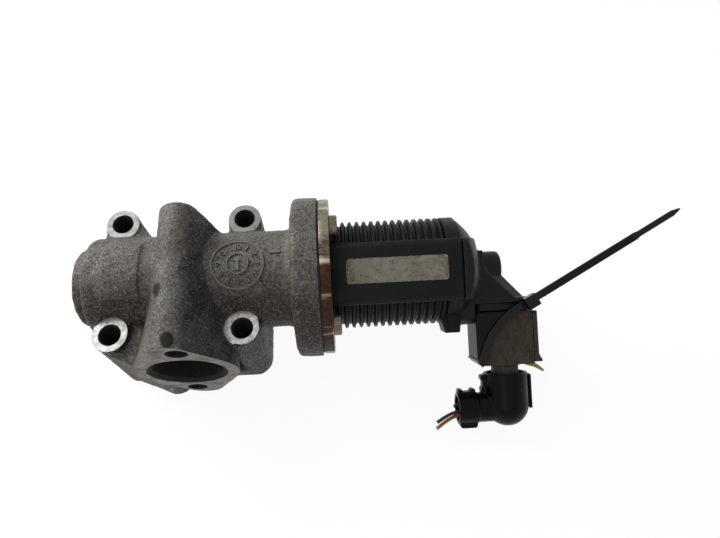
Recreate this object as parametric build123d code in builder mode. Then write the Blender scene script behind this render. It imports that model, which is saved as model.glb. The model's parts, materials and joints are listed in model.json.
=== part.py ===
"""Solenoid-driven exhaust gas recirculation valve, as an assembly of separate pieces.

Frame: millimetres, +Z up. The origin is the middle of the four-screw pattern on the mounting face.
+X runs along the valve stem towards the solenoid, and the inlet port faces -Y.
"""

import os
from math import cos, pi, radians, sin, tan

from build123d import *

os.makedirs("parts", exist_ok=True)

# ---------------------------------------------------------------- clearances
PRESS_GAP = 0.02  # radial, pieces pressed into a bore
RUNNING_GAP = 0.04  # radial, stem and plunger in their guides
SEATED_GAP = 0.05  # pieces that sit against each other in one body
FREE_GAP = 0.4  # moving piece beside a fixed one that doesn't guide it

# ---------------------------------------------------------------- stem axis
STEM_Y = -0.8  # the stem lies a little off the middle of the screw pattern
STEM_Z = 37.0  # height of the stem above the mounting face
CLOCK = 24.0  # the solenoid's label pad is turned this far towards the inlet, degrees

# ---------------------------------------------------------------- casting
BOLT_PITCH_X = 56.0
BOLT_PITCH_Y = 54.0
BOLT_HOLE_D = 8.5
BOSS_D = 14.8
BOSS_RISE = 8.3  # boss faces above the stem axis
BOSS_FOOT_D = 16.0
MOUNT_FLANGE_T = 9.0

BARREL_R = 22.0
BARREL_END_X = -38.8
NOSE_R = 17.5
NOSE_L = 5.6
FLANGE_X = 62.0  # joint face of the round flange
FLANGE_T = 11.2

PORT_X = 4.0
PORT_REACH = 41.8  # inlet face to the stem axis
PORT_D = 30.3
PORT_BODY_R = 22.0
PORT_MOUTH_CHAMFER = 1.8
PORT_BORE_L = 27.0  # turned stretch of the inlet bore, behind its chamfer
PASSAGE_R = 13.8  # cast passage behind the turned stretch
PORT_PCD = 49.8
PORT_SCREW_CLOCK = 3.6  # degrees
PORT_SCREW_D = 8.2
PORT_SCREW_DEPTH = 20.0
PORT_LUG_R = 8.5
PASSAGE_END = 12.0  # inner end of the passage beyond the stem axis
CROWN_Y = 24.0  # closed top of the passage above the stem axis
CROWN_BODY_R = 15.0
CROWN_SLOPE = 24.0  # degrees

CHAMBER_R = 14.0
OUTLET_X = -23.5
OUTLET_D = 20.0
OUTLET_BORE_L = 19.0  # turned stretch of the outlet, up from the mounting face
OUTLET_CAST_R = 9.4

PANEL_X0 = -30.3  # raised marking panel on the barrel
PANEL_X1 = -13.5
PANEL_FROM = 61.0  # degrees round the barrel, from +Y towards +Z
PANEL_ARC = 72.0
PANEL_RELIEF = 0.6

# ---------------------------------------------------------------- valve
SEAT_X = -14.5  # shoulder that the seat ring is pressed against
SEAT_T = 4.0
SEAT_BORE_R = 11.0
SEAT_FACE = 1.6  # size of the 45 degree seating cone
SEAT_LASH = 0.2
DISC_T = 4.0
DISC_HUB_L = 5.0
DISC_HUB_WALL = 1.2
DISC_SWEEP_R = 9.0  # hollow cone between the disc and its hub
STEM_D = 6.0
TENON_D = 4.4
LIFT = 5.0

BUSH_X0 = 22.0
BUSH_R = 6.5
SEAL_T = 4.0
POCKET_R = 15.0
POCKET_DEPTH = 18.0
RETAINER_R = 11.0
RETAINER_T = 2.5
RETAINER_SET = 4.0  # retainer's back below the flange face
WIRE_FLATS = 6  # the springs' round wire is drawn with this many flats
SPRING_R = 8.0
SPRING_WIRE_D = 1.8
SPRING_TURNS = 4.5

# ---------------------------------------------------------------- joint stack
GASKET_T = 0.8
PLATE_T = 4.5
PLATE_MARGIN = 5.7  # plate's edge outside the screw circle
PLATE_STEP = 0.8  # flange's edge outside the plate's
SCREW_D = 5.0
SCREW_L = 13.8  # below the head
SCREW_HEAD_D = 9.5
SCREW_HEAD_H = 3.5
SCREW_HEX_R = 2.3
SCREW_HEX_DEPTH = 2.0
HEAD_GAP = 0.45  # screw head beside the shell's ribs
PLATE_X = FLANGE_X + GASKET_T
SHELL_X = PLATE_X + PLATE_T

# ---------------------------------------------------------------- solenoid
CREST_R = 24.3
SCREW_CIRCLE_R = CREST_R + HEAD_GAP + SCREW_HEAD_D / 2
PLATE_R = SCREW_CIRCLE_R + PLATE_MARGIN
FLANGE_R = PLATE_R + PLATE_STEP
ROOT_R = 22.4
SHELL_BORE_R = 20.65
RIB_COUNT = 15
RIB_PITCH = 3.28
RIB_FIRST = 2.55  # first crest from the plate
RIB_CREST_W = 1.2
RIB_ROOT_W = 2.4
BAND_L = 6.2
SHELL_L = 56.2
PAD_FACE = 26.0
PAD_HALF = 13.2
PAD_BEVEL = 2.0
PAD_FOOT = 18.0
LABEL_X0 = SHELL_X + 6.4
LABEL_L = 43.2
LABEL_X1 = LABEL_X0 + LABEL_L
LABEL_Y0 = -4.2
LABEL_Y1 = 6.4
LABEL_T = 0.15
LUG_REACH = 28.0
LUG_L = 9.0
LUG_ROOT = 6.0  # lug's root inside the shell's surface
LUG_FRONT = 12.5

WALL_T = 1.0  # flux tube
BOBBIN_WALL = 1.3
SLEEVE_T = 0.42
ARMATURE_R = 11.0
POLE_L = 14.7
POLE_FLANGE_T = 2.8
AIR_GAP = 6.0
ARMATURE_L = 20.0
BOBBIN_FLANGE_T = 2.0
BOBBIN_L = 43.5
YOKE_T = 3.5
PUSH_ROD_D = 5.0
PUSH_ROD_GRIP = 8.0

# ---------------------------------------------------------------- end cover and sensor
COVER_X = SHELL_X + SHELL_L
COVER_SPIGOT_L = 4.0
DOME_X = COVER_X + 12.0
DOME_R = 28.5
CAP_STEP = 0.6  # cap's rim inside the shell's
SHOULDER_REACH = 25.8
BOSS_R = 7.75
BOSS_END_X = DOME_X + 9.2
CARRIER_R = 5.6
PLUNGER_R = 3.0
PLUNGER_L = 24.0
PLUNGER_GAP = 0.3
SENSOR_SPRING_R = 2.1
SENSOR_SPRING_WIRE_D = 0.6
SENSOR_SPRING_TURNS = 5
SENSOR_END_X = BOSS_END_X - 2.7

# ---------------------------------------------------------------- connector (arm frame: x, then down the arm)
CONN_X0 = DOME_X - 4.9
CONN_X1 = CONN_X0 + 26.0
CONN_FRONT = 10.0
CONN_BACK = -9.5
ARM_END = 16.0
WEB_TOP = 6.4
WEB_END_X = CONN_X1 - 1.4
CHEEK_TOP = 1.2
CHEEK_END_X = CONN_X1 - 7.2
CHEEK_FOOT = 5.0
COLLAR_END = 20.0
KEY_X = 10.5  # key on the socket's front, from the left of the arm
KEY_W = 1.2
PLUG_END = 44.0
PLUG_CORNER = 3.2
PLUG_WALL = 2.4
SHROUD_WALL = 1.4
SHROUD_END = 38.0
CONN_MID_X = CONN_X0 + 14.4
PIN_COUNT = 5
PIN_PITCH = 3.4
PIN_W = 1.5
PIN_T = 0.8
PIN_TOP = 8.0
PIN_END = 30.0
RAIL_W = 2.1
NECK_R = 6.2
NECK_END = 52.0

ELBOW_R = 10.0
ELBOW_WALL = 1.4
ELBOW_MOUTH = 48.5
ELBOW_TURN = 64.0
SLEEVE_R = 6.75
SLEEVE_WALL = 1.2
SLEEVE_X = CONN_MID_X - 23.0
GRIP_T = 1.5
STRIP_T = 1.4

WIRE_D = 1.6

TIE_W = 3.4
TIE_T = 1.1
TIE_HEAD_L = 5.6
TIE_HEAD_W = 5.6
TIE_HEAD_H = 4.8
TIE_TAIL_L = 79.0
TIE_TAIL_ANGLE = 28.3  # degrees


# ---------------------------------------------------------------- frames and helpers
STEM = Plane(origin=(0, STEM_Y, STEM_Z), x_dir=(1, 0, 0), z_dir=(0, 0, 1))
ARM = STEM.rotated((CLOCK, 0, 0))
STEM_AXIS = Axis(STEM.origin, STEM.x_dir)


def station(x, frame=STEM):
    """Plane across the stem at x. Its sketch axes are the frame's Y and Z."""
    return Plane(frame.from_local_coords((x, 0, 0)), x_dir=frame.y_dir, z_dir=frame.x_dir)


def down_arm(distance):
    """Plane across the connector arm, so far below the stem. Its sketch axes are X and the arm's Z."""
    return Plane(ARM.from_local_coords((0, -distance, 0)), x_dir=ARM.x_dir, z_dir=-ARM.y_dir)


def turned(*outline):
    """Revolve an outline of (x, radius) points about the stem axis."""
    with BuildSketch(STEM) as profile:
        with BuildLine():
            Polyline(*outline, close=True)
        make_face()
    revolve(profile.sketch, axis=STEM_AXIS)


def turned_ring(x0, x1, inner, outer):
    """Revolve a plain ring about the stem axis."""
    turned((x0, inner), (x1, inner), (x1, outer), (x0, outer))


def rims(part, x, radius):
    """The circular edges of a part about the stem axis at x, of one radius."""
    return part.edges().filter_by(
        lambda edge: edge.geom_type == GeomType.CIRCLE
        and abs(edge.arc_center.X - x) < 0.01
        and abs(edge.radius - radius) < 0.01
    )


def finish(piece, label):
    """Label a finished piece and write it out."""
    piece.part.label = label
    export_step(piece.part, f"parts/{label}.step")


# ================================================================ housing casting
NOSE_X = BARREL_END_X - NOSE_L
FLANGE_BACK_X = FLANGE_X - FLANGE_T
BOSS_TOP = STEM_Z + BOSS_RISE
POCKET_X = FLANGE_X - POCKET_DEPTH
PORT_FACE = Plane(origin=(PORT_X, STEM_Y - PORT_REACH, STEM_Z), x_dir=(1, 0, 0), z_dir=(0, -1, 0))
CROWN_FACE = PORT_FACE.offset(-PORT_REACH - CROWN_Y)

with BuildPart() as barrel:
    turned(
        (NOSE_X, 0),
        (NOSE_X, NOSE_R),
        (BARREL_END_X, NOSE_R),
        (BARREL_END_X, BARREL_R),
        (FLANGE_BACK_X, BARREL_R),
        (FLANGE_BACK_X, FLANGE_R),
        (FLANGE_X, FLANGE_R),
        (FLANGE_X, 0),
    )
    fillet(rims(barrel, NOSE_X, NOSE_R), radius=2.5)
    fillet(rims(barrel, BARREL_END_X, BARREL_R), radius=2.0)
    fillet(rims(barrel, FLANGE_BACK_X, BARREL_R), radius=4.0)
    fillet(rims(barrel, FLANGE_BACK_X, FLANGE_R), radius=2.2)

with BuildPart() as passage:
    with BuildSketch(PORT_FACE):
        Circle(PORT_BODY_R)
        with PolarLocations(PORT_PCD / 2, 2, start_angle=90 + PORT_SCREW_CLOCK):
            Circle(PORT_LUG_R)
        make_hull()
    with BuildSketch(CROWN_FACE):
        with PolarLocations(PORT_PCD / 2, 1, start_angle=90 + PORT_SCREW_CLOCK):
            Circle(PORT_LUG_R)
        with Locations((2, 0)):
            Circle(CROWN_BODY_R)
        with Locations((2, -PORT_PCD / 4)):
            Circle(PORT_LUG_R)
        make_hull()
    loft(ruled=True)
    fillet(passage.faces().sort_by(Axis.Y)[-1].edges(), radius=2.5)
    with BuildSketch(STEM):
        with BuildLine():
            start = Vector(PORT_X + PORT_LUG_R / 2, CROWN_Y)
            run = 2 * BARREL_R
            Polyline(start, start + (run, 0), start + (run, -run * tan(radians(CROWN_SLOPE))), close=True)
        make_face()
    extrude(amount=2 * BARREL_R, both=True, mode=Mode.SUBTRACT)

with BuildPart() as inlet_core:
    with BuildSketch(PORT_FACE):
        Circle(PASSAGE_R)
    extrude(amount=-PORT_REACH - PASSAGE_END)
    fillet(inlet_core.faces().sort_by(Axis.Y)[-1].edges(), radius=4.0)
    with BuildSketch(PORT_FACE):
        Circle(PORT_D / 2)
    extrude(amount=-PORT_MOUTH_CHAMFER - PORT_BORE_L)

with BuildPart() as housing:
    with BuildSketch(Plane.XY):
        RectangleRounded(BOLT_PITCH_X + BOSS_FOOT_D, BOLT_PITCH_Y + BOSS_FOOT_D, BOSS_FOOT_D / 2 - 0.1)
    extrude(amount=MOUNT_FLANGE_T)
    with GridLocations(BOLT_PITCH_X, BOLT_PITCH_Y, 2, 2):
        Cone(BOSS_FOOT_D / 2, BOSS_D / 2, BOSS_TOP, align=(Align.CENTER, Align.CENTER, Align.MIN))
    # walls that join each pair of bosses to the barrel, and the block under it
    with BuildSketch(Plane.XY):
        with GridLocations(BOLT_PITCH_X, 0, 2, 1):
            Rectangle(BOSS_D, BOLT_PITCH_Y)
    extrude(amount=BOSS_TOP - 0.6)
    with BuildSketch(Plane.XY):
        Rectangle(BOLT_PITCH_X, 1.7 * BARREL_R)
    extrude(amount=STEM_Z)
    # cast flanks of the two left bosses
    with BuildSketch(Plane.XY):
        with Locations((-BOLT_PITCH_X / 2, BOLT_PITCH_Y / 2)):
            Circle(BOSS_D / 2)
        with Locations((-BOLT_PITCH_X / 3, BARREL_R / 2)):
            Circle(BOSS_D / 2)
        make_hull()
    extrude(amount=BOSS_TOP - 1.2)
    with BuildSketch(Plane.XY):
        with Locations((-BOLT_PITCH_X / 2, -BOLT_PITCH_Y / 2)):
            Circle(BOSS_D / 2)
        with Locations((PORT_X - PORT_BODY_R + PORT_LUG_R, STEM_Y - PORT_REACH + PORT_LUG_R)):
            Circle(PORT_LUG_R)
        make_hull()
    extrude(amount=STEM_Z + PORT_LUG_R / 2)
    add(barrel.part)
    add(passage.part)
    # raised panel on the barrel
    with BuildSketch(STEM.rotated((PANEL_FROM, 0, 0))):
        with BuildLine():
            Polyline(
                (PANEL_X0, BARREL_R - 2),
                (PANEL_X1, BARREL_R - 2),
                (PANEL_X1, BARREL_R + PANEL_RELIEF),
                (PANEL_X0, BARREL_R + PANEL_RELIEF),
                close=True,
            )
        make_face()
    revolve(axis=STEM_AXIS, revolution_arc=PANEL_ARC)

    # screw holes through the bosses
    with Locations(Plane.XY.offset(BOSS_TOP)):
        with GridLocations(BOLT_PITCH_X, BOLT_PITCH_Y, 2, 2):
            Hole(BOLT_HOLE_D / 2)
    # inlet bore with its chamfered mouth, and the two tapped holes of its flange
    add(inlet_core.part, mode=Mode.SUBTRACT)
    with Locations(PORT_FACE):
        Cone(
            PORT_D / 2,
            PORT_D / 2 + PORT_MOUTH_CHAMFER,
            PORT_MOUTH_CHAMFER,
            align=(Align.CENTER, Align.CENTER, Align.MAX),
            mode=Mode.SUBTRACT,
        )
        with PolarLocations(PORT_PCD / 2, 2, start_angle=90 + PORT_SCREW_CLOCK):
            Hole(PORT_SCREW_D / 2, depth=PORT_SCREW_DEPTH)
    # valve chamber, throat, stem bore and spring pocket
    turned_cuts = (
        (NOSE_X, SEAT_X, CHAMBER_R),
        (SEAT_X, PORT_X, SEAT_BORE_R + 0.5),
        (PORT_X, BUSH_X0, STEM_D / 2 + FREE_GAP),
        (BUSH_X0, POCKET_X, BUSH_R),
        (POCKET_X, FLANGE_X, POCKET_R),
    )
    for x0, x1, radius in turned_cuts:
        with BuildSketch(station(x0)):
            Circle(radius)
        extrude(amount=x1 - x0, mode=Mode.SUBTRACT)
    # outlet in the mounting face
    for outlet_r, height in ((OUTLET_D / 2, OUTLET_BORE_L), (OUTLET_CAST_R, STEM_Z)):
        with BuildSketch(Plane.XY):
            with Locations((OUTLET_X, STEM_Y)):
                Circle(outlet_r)
        extrude(amount=height, mode=Mode.SUBTRACT)
    # tapped holes for the plate screws
    with BuildSketch(station(FLANGE_X, ARM)):
        with PolarLocations(SCREW_CIRCLE_R, 4, start_angle=45):
            Circle(SCREW_D / 2 + SEATED_GAP)
    extrude(amount=-(SCREW_L - PLATE_T - GASKET_T + 0.5), mode=Mode.SUBTRACT)
finish(housing, "housing")

# ================================================================ pieces in the casting
PLUG_T = 3.0

with BuildPart() as valve_seat_ring:
    turned(
        (SEAT_X - SEAT_T, SEAT_BORE_R + SEAT_FACE),
        (SEAT_X - SEAT_T + SEAT_FACE, SEAT_BORE_R),
        (SEAT_X, SEAT_BORE_R),
        (SEAT_X, CHAMBER_R - PRESS_GAP),
        (SEAT_X - SEAT_T, CHAMBER_R - PRESS_GAP),
    )
finish(valve_seat_ring, "valve_seat_ring")

with BuildPart() as end_plug:
    turned(
        (NOSE_X + 1.0, 0),
        (NOSE_X + 1.0, 9.0),
        (NOSE_X + 0.2, 11.0),
        (NOSE_X + 0.2, CHAMBER_R - PRESS_GAP),
        (NOSE_X + 0.2 + PLUG_T, CHAMBER_R - PRESS_GAP),
        (NOSE_X + 0.2 + PLUG_T, 0),
    )
finish(end_plug, "end_plug")

with BuildPart() as guide_bush:
    turned_ring(BUSH_X0, POCKET_X - SEAL_T, STEM_D / 2 + RUNNING_GAP, BUSH_R - PRESS_GAP)
finish(guide_bush, "guide_bush")

with BuildPart() as stem_seal:
    turned(
        (POCKET_X - SEAL_T, BUSH_R - PRESS_GAP),
        (POCKET_X - SEAL_T, STEM_D / 2 + RUNNING_GAP),
        (POCKET_X - SEAL_T + 1.0, STEM_D / 2 + RUNNING_GAP),
        (POCKET_X - SEAL_T / 2, 4.6),
        (POCKET_X, 4.6),
        (POCKET_X, BUSH_R - PRESS_GAP),
    )
finish(stem_seal, "stem_seal")

# ================================================================ joint between casting and solenoid
with BuildPart() as flange_gasket:
    with BuildSketch(station(FLANGE_X, ARM)):
        Circle(PLATE_R - 0.4)
        Circle(POCKET_R + 1, mode=Mode.SUBTRACT)
        with PolarLocations(SCREW_CIRCLE_R, 4, start_angle=45):
            Circle(SCREW_D / 2 + 0.3, mode=Mode.SUBTRACT)
    extrude(amount=GASKET_T)
finish(flange_gasket, "flange_gasket")

with BuildPart() as mounting_plate:
    with BuildSketch(station(PLATE_X, ARM)):
        Circle(PLATE_R)
        Circle(ARMATURE_R + SEATED_GAP, mode=Mode.SUBTRACT)
        with PolarLocations(SCREW_CIRCLE_R, 4, start_angle=45):
            Circle(SCREW_D / 2 + 0.2, mode=Mode.SUBTRACT)
    extrude(amount=PLATE_T)
    fillet(rims(mounting_plate, SHELL_X, PLATE_R), radius=0.6)
finish(mounting_plate, "mounting_plate")

with BuildPart() as plate_screws:
    with BuildSketch(station(SHELL_X, ARM)):
        with PolarLocations(SCREW_CIRCLE_R, 4, start_angle=45):
            Circle(SCREW_D / 2)
    extrude(amount=-SCREW_L)
    with BuildSketch(station(SHELL_X, ARM)):
        with PolarLocations(SCREW_CIRCLE_R, 4, start_angle=45):
            Circle(SCREW_HEAD_D / 2)
    extrude(amount=SCREW_HEAD_H)
    chamfer(plate_screws.faces().filter_by(Axis.X).group_by(Axis.X)[-1].edges(), length=0.6)
    with BuildSketch(station(SHELL_X + SCREW_HEAD_H, ARM)):
        with PolarLocations(SCREW_CIRCLE_R, 4, start_angle=45):
            RegularPolygon(SCREW_HEX_R, 6)
    extrude(amount=-SCREW_HEX_DEPTH, mode=Mode.SUBTRACT)
finish(plate_screws, "plate_screws")

# ================================================================ moving valve
DISC_FACE_X = SEAT_X - SEAT_T - SEAT_LASH
DISC_FRONT_X = DISC_FACE_X + SEAT_FACE
DISC_BACK_X = DISC_FACE_X - DISC_T
RETAINER_X = FLANGE_X - RETAINER_SET
POLE_FACE_X = SHELL_X + POLE_L
ARMATURE_X = POLE_FACE_X + AIR_GAP

with BuildPart() as valve_disc:
    with BuildSketch(STEM):
        with BuildLine():
            hub = (DISC_FRONT_X + DISC_HUB_L, STEM_D / 2 + DISC_HUB_WALL)
            Polyline(
                hub,
                (hub[0], TENON_D / 2 + SEATED_GAP),
                (DISC_BACK_X, TENON_D / 2 + SEATED_GAP),
                (DISC_BACK_X, SEAT_BORE_R + SEAT_FACE),
                (DISC_FACE_X, SEAT_BORE_R + SEAT_FACE),
                (DISC_FRONT_X, SEAT_BORE_R),
            )
            RadiusArc((DISC_FRONT_X, SEAT_BORE_R), hub, DISC_SWEEP_R)
        make_face()
    revolve(axis=STEM_AXIS)
finish(valve_disc, "valve_disc")

with BuildPart() as valve_stem:
    turned(
        (DISC_BACK_X - 1.2, 0),
        (DISC_BACK_X - 1.2, 2.4),
        (DISC_BACK_X - 0.7, 3.2),
        (DISC_BACK_X, 3.2),
        (DISC_BACK_X, TENON_D / 2),
        (DISC_FRONT_X + DISC_HUB_L, TENON_D / 2),
        (DISC_FRONT_X + DISC_HUB_L, STEM_D / 2),
        (RETAINER_X - 0.6, STEM_D / 2),
        (RETAINER_X, PUSH_ROD_D / 2),
        (ARMATURE_X + PUSH_ROD_GRIP, PUSH_ROD_D / 2),
        (ARMATURE_X + PUSH_ROD_GRIP, 0),
    )
finish(valve_stem, "valve_stem")

with BuildPart() as spring_retainer:
    turned(
        (RETAINER_X - RETAINER_T, SPRING_R + 1.4),
        (RETAINER_X - RETAINER_T, RETAINER_R),
        (RETAINER_X, RETAINER_R),
        (RETAINER_X + 1.5, 5.0),
        (RETAINER_X + 1.5, PUSH_ROD_D / 2 + PRESS_GAP),
        (RETAINER_X, PUSH_ROD_D / 2 + PRESS_GAP),
        (RETAINER_X - 0.6, STEM_D / 2 + PRESS_GAP),
        (RETAINER_X - 1.2, STEM_D / 2 + PRESS_GAP),
        (RETAINER_X - 1.2, SPRING_R + 1.4),
    )
finish(spring_retainer, "spring_retainer")

with BuildPart() as return_spring:
    with BuildLine() as coil:
        spring_start = POCKET_X + SPRING_WIRE_D / 2 + SEATED_GAP
        spring_end = RETAINER_X - 1.2 - SPRING_WIRE_D / 2 - SEATED_GAP
        Helix(
            pitch=(spring_end - spring_start) / SPRING_TURNS,
            height=spring_end - spring_start,
            radius=SPRING_R,
            center=STEM.from_local_coords((spring_start, 0, 0)),
            direction=STEM.x_dir,
        )
    with BuildSketch(Plane(origin=coil.line @ 0, z_dir=coil.line % 0)):
        RegularPolygon(SPRING_WIRE_D / 2, WIRE_FLATS)
    sweep(path=coil.line, is_frenet=True)
finish(return_spring, "return_spring")

with BuildPart() as armature:
    turned(
        (ARMATURE_X, PUSH_ROD_D / 2 + PRESS_GAP),
        (ARMATURE_X, ARMATURE_R - 1.5),
        (ARMATURE_X + 1.5, ARMATURE_R),
        (ARMATURE_X + ARMATURE_L - 0.8, ARMATURE_R),
        (ARMATURE_X + ARMATURE_L, ARMATURE_R - 0.8),
        (ARMATURE_X + ARMATURE_L, 0),
        (ARMATURE_X + PUSH_ROD_GRIP + SEATED_GAP, 0),
        (ARMATURE_X + PUSH_ROD_GRIP + SEATED_GAP, PUSH_ROD_D / 2 + PRESS_GAP),
    )
finish(armature, "armature")

# ================================================================ magnet
SLEEVE_BORE_R = ARMATURE_R + RUNNING_GAP
SLEEVE_OUTER_R = SLEEVE_BORE_R + SLEEVE_T
BOBBIN_X = SHELL_X + POLE_FLANGE_T
BOBBIN_END_X = BOBBIN_X + BOBBIN_L
BOBBIN_BORE_R = SLEEVE_OUTER_R + SEATED_GAP
BOBBIN_CORE_R = BOBBIN_BORE_R + BOBBIN_WALL
FLUX_OUTER_R = SHELL_BORE_R - SEATED_GAP
FLUX_INNER_R = FLUX_OUTER_R - WALL_T
BOBBIN_FLANGE_R = FLUX_INNER_R - SEATED_GAP

with BuildPart() as pole_piece:
    turned(
        (PLATE_X, PUSH_ROD_D / 2 + FREE_GAP),
        (PLATE_X, ARMATURE_R),
        (SHELL_X, ARMATURE_R),
        (SHELL_X, BOBBIN_FLANGE_R),
        (SHELL_X + POLE_FLANGE_T - SEATED_GAP, BOBBIN_FLANGE_R),
        (SHELL_X + POLE_FLANGE_T - SEATED_GAP, ARMATURE_R),
        (POLE_FACE_X - 1.5, ARMATURE_R),
        (POLE_FACE_X, ARMATURE_R - 1.5),
        (POLE_FACE_X, PUSH_ROD_D / 2 + FREE_GAP),
    )
finish(pole_piece, "pole_piece")

with BuildPart() as armature_sleeve:
    turned_ring(BOBBIN_X, BOBBIN_END_X, SLEEVE_BORE_R, SLEEVE_OUTER_R)
finish(armature_sleeve, "armature_sleeve")

with BuildPart() as coil_bobbin:
    turned(
        (BOBBIN_X, BOBBIN_BORE_R),
        (BOBBIN_X, BOBBIN_FLANGE_R),
        (BOBBIN_X + BOBBIN_FLANGE_T, BOBBIN_FLANGE_R),
        (BOBBIN_X + BOBBIN_FLANGE_T, BOBBIN_CORE_R),
        (BOBBIN_END_X - BOBBIN_FLANGE_T, BOBBIN_CORE_R),
        (BOBBIN_END_X - BOBBIN_FLANGE_T, BOBBIN_FLANGE_R),
        (BOBBIN_END_X, BOBBIN_FLANGE_R),
        (BOBBIN_END_X, BOBBIN_BORE_R),
    )
finish(coil_bobbin, "coil_bobbin")

with BuildPart() as coil_winding:
    turned_ring(
        BOBBIN_X + BOBBIN_FLANGE_T + SEATED_GAP,
        BOBBIN_END_X - BOBBIN_FLANGE_T - SEATED_GAP,
        BOBBIN_CORE_R + SEATED_GAP,
        BOBBIN_FLANGE_R - 0.5,
    )
finish(coil_winding, "coil_winding")

with BuildPart() as flux_tube:
    turned_ring(SHELL_X, BOBBIN_END_X + SEATED_GAP, FLUX_INNER_R, FLUX_OUTER_R)
finish(flux_tube, "flux_tube")

with BuildPart() as rear_yoke:
    turned_ring(
        BOBBIN_END_X + SEATED_GAP, BOBBIN_END_X + SEATED_GAP + YOKE_T, ARMATURE_R + FREE_GAP, FLUX_OUTER_R
    )
finish(rear_yoke, "rear_yoke")

# ================================================================ solenoid shell
with BuildPart() as solenoid_shell:
    with BuildSketch(STEM):
        with BuildLine():
            Polyline(
                (SHELL_X, SHELL_BORE_R),
                (SHELL_X, ROOT_R),
                (COVER_X - BAND_L, ROOT_R),
                (COVER_X - BAND_L, CREST_R),
                (COVER_X, CREST_R),
                (COVER_X, SHELL_BORE_R),
                close=True,
            )
        make_face()
        for rib in range(RIB_COUNT):
            crest_x = SHELL_X + RIB_FIRST + rib * RIB_PITCH
            with BuildLine():
                Polyline(
                    (crest_x - RIB_ROOT_W / 2, ROOT_R - 0.2),
                    (crest_x - RIB_CREST_W / 2, CREST_R),
                    (crest_x + RIB_CREST_W / 2, CREST_R),
                    (crest_x + RIB_ROOT_W / 2, ROOT_R - 0.2),
                    close=True,
                )
            make_face()
    revolve(axis=STEM_AXIS)
    # flat pad for the label
    with BuildSketch(station(SHELL_X + 0.2, ARM)):
        with BuildLine():
            Polyline(
                (-PAD_HALF, PAD_FOOT),
                (-PAD_HALF, PAD_FACE - PAD_BEVEL * 0.8),
                (-PAD_HALF + PAD_BEVEL, PAD_FACE),
                (PAD_HALF - PAD_BEVEL, PAD_FACE),
                (PAD_HALF, PAD_FACE - PAD_BEVEL * 0.8),
                (PAD_HALF, PAD_FOOT),
                close=True,
            )
        make_face()
    extrude(amount=SHELL_L - 0.2)
    # lug under the band
    with BuildSketch(ARM):
        with BuildLine():
            Polyline(
                (COVER_X - LUG_L, LUG_ROOT - ROOT_R),
                (COVER_X - LUG_L, 7.0 - LUG_REACH),
                (COVER_X - 0.8 * LUG_L, -LUG_REACH),
                (COVER_X - 0.6, -LUG_REACH),
                (COVER_X, 5.0 - LUG_REACH),
                (COVER_X, LUG_ROOT - ROOT_R),
                close=True,
            )
        make_face()
    extrude(amount=LUG_FRONT)
    with BuildSketch(STEM):
        with BuildLine():
            Polyline((SHELL_X, 0), (SHELL_X, SHELL_BORE_R), (COVER_X, SHELL_BORE_R), (COVER_X, 0), close=True)
        make_face()
    revolve(axis=STEM_AXIS, mode=Mode.SUBTRACT)
finish(solenoid_shell, "solenoid_shell")

# ================================================================ label
with BuildPart() as label:
    with BuildSketch(ARM.offset(PAD_FACE)):
        with Locations(((LABEL_X0 + LABEL_X1) / 2, (LABEL_Y0 + LABEL_Y1) / 2)):
            RectangleRounded(LABEL_X1 - LABEL_X0, LABEL_Y1 - LABEL_Y0, 1.6)
    extrude(amount=LABEL_T)
finish(label, "label")

# ================================================================ end cover
CONN_MID_Z = (CONN_FRONT + CONN_BACK) / 2
CONN_W = CONN_X1 - CONN_X0
CONN_T = CONN_FRONT - CONN_BACK
SOCKET_W = CONN_W - 2 * PLUG_WALL - 0.3
SOCKET_T = CONN_T - 2 * PLUG_WALL - 0.3
PIN_XS = [CONN_MID_X + (pin - (PIN_COUNT - 1) / 2) * PIN_PITCH for pin in range(PIN_COUNT)]
CONN_SPOT = ((CONN_X0 + CONN_X1) / 2, CONN_MID_Z)

with BuildPart() as pad_end:
    # the label pad rolls over the end of the cover
    with BuildSketch(down_arm(-PAD_HALF)):
        with BuildLine():
            Polyline(
                (COVER_X + 1, PAD_FACE),
                (COVER_X, PAD_FACE),
                (COVER_X, 0),
                (DOME_X, 0),
                (DOME_X, PAD_FACE / 2),
            )
            ThreePointArc((DOME_X, PAD_FACE / 2), (DOME_X - 3.0, PAD_FACE - 4.0), (COVER_X + 1, PAD_FACE))
        make_face()
    extrude(amount=2 * PAD_HALF)
    rolled_edges = pad_end.edges().filter_by(
        lambda edge: abs(abs(ARM.to_local_coords(edge @ 0).Y) - PAD_HALF) < 0.01
        and abs(abs(ARM.to_local_coords(edge @ 1).Y) - PAD_HALF) < 0.01
        and ARM.to_local_coords(edge.center()).Z > PAD_FACE / 2
        and edge.center().X > COVER_X + 0.1
    )
    chamfer(rolled_edges, length=PAD_BEVEL * 0.8)

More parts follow.
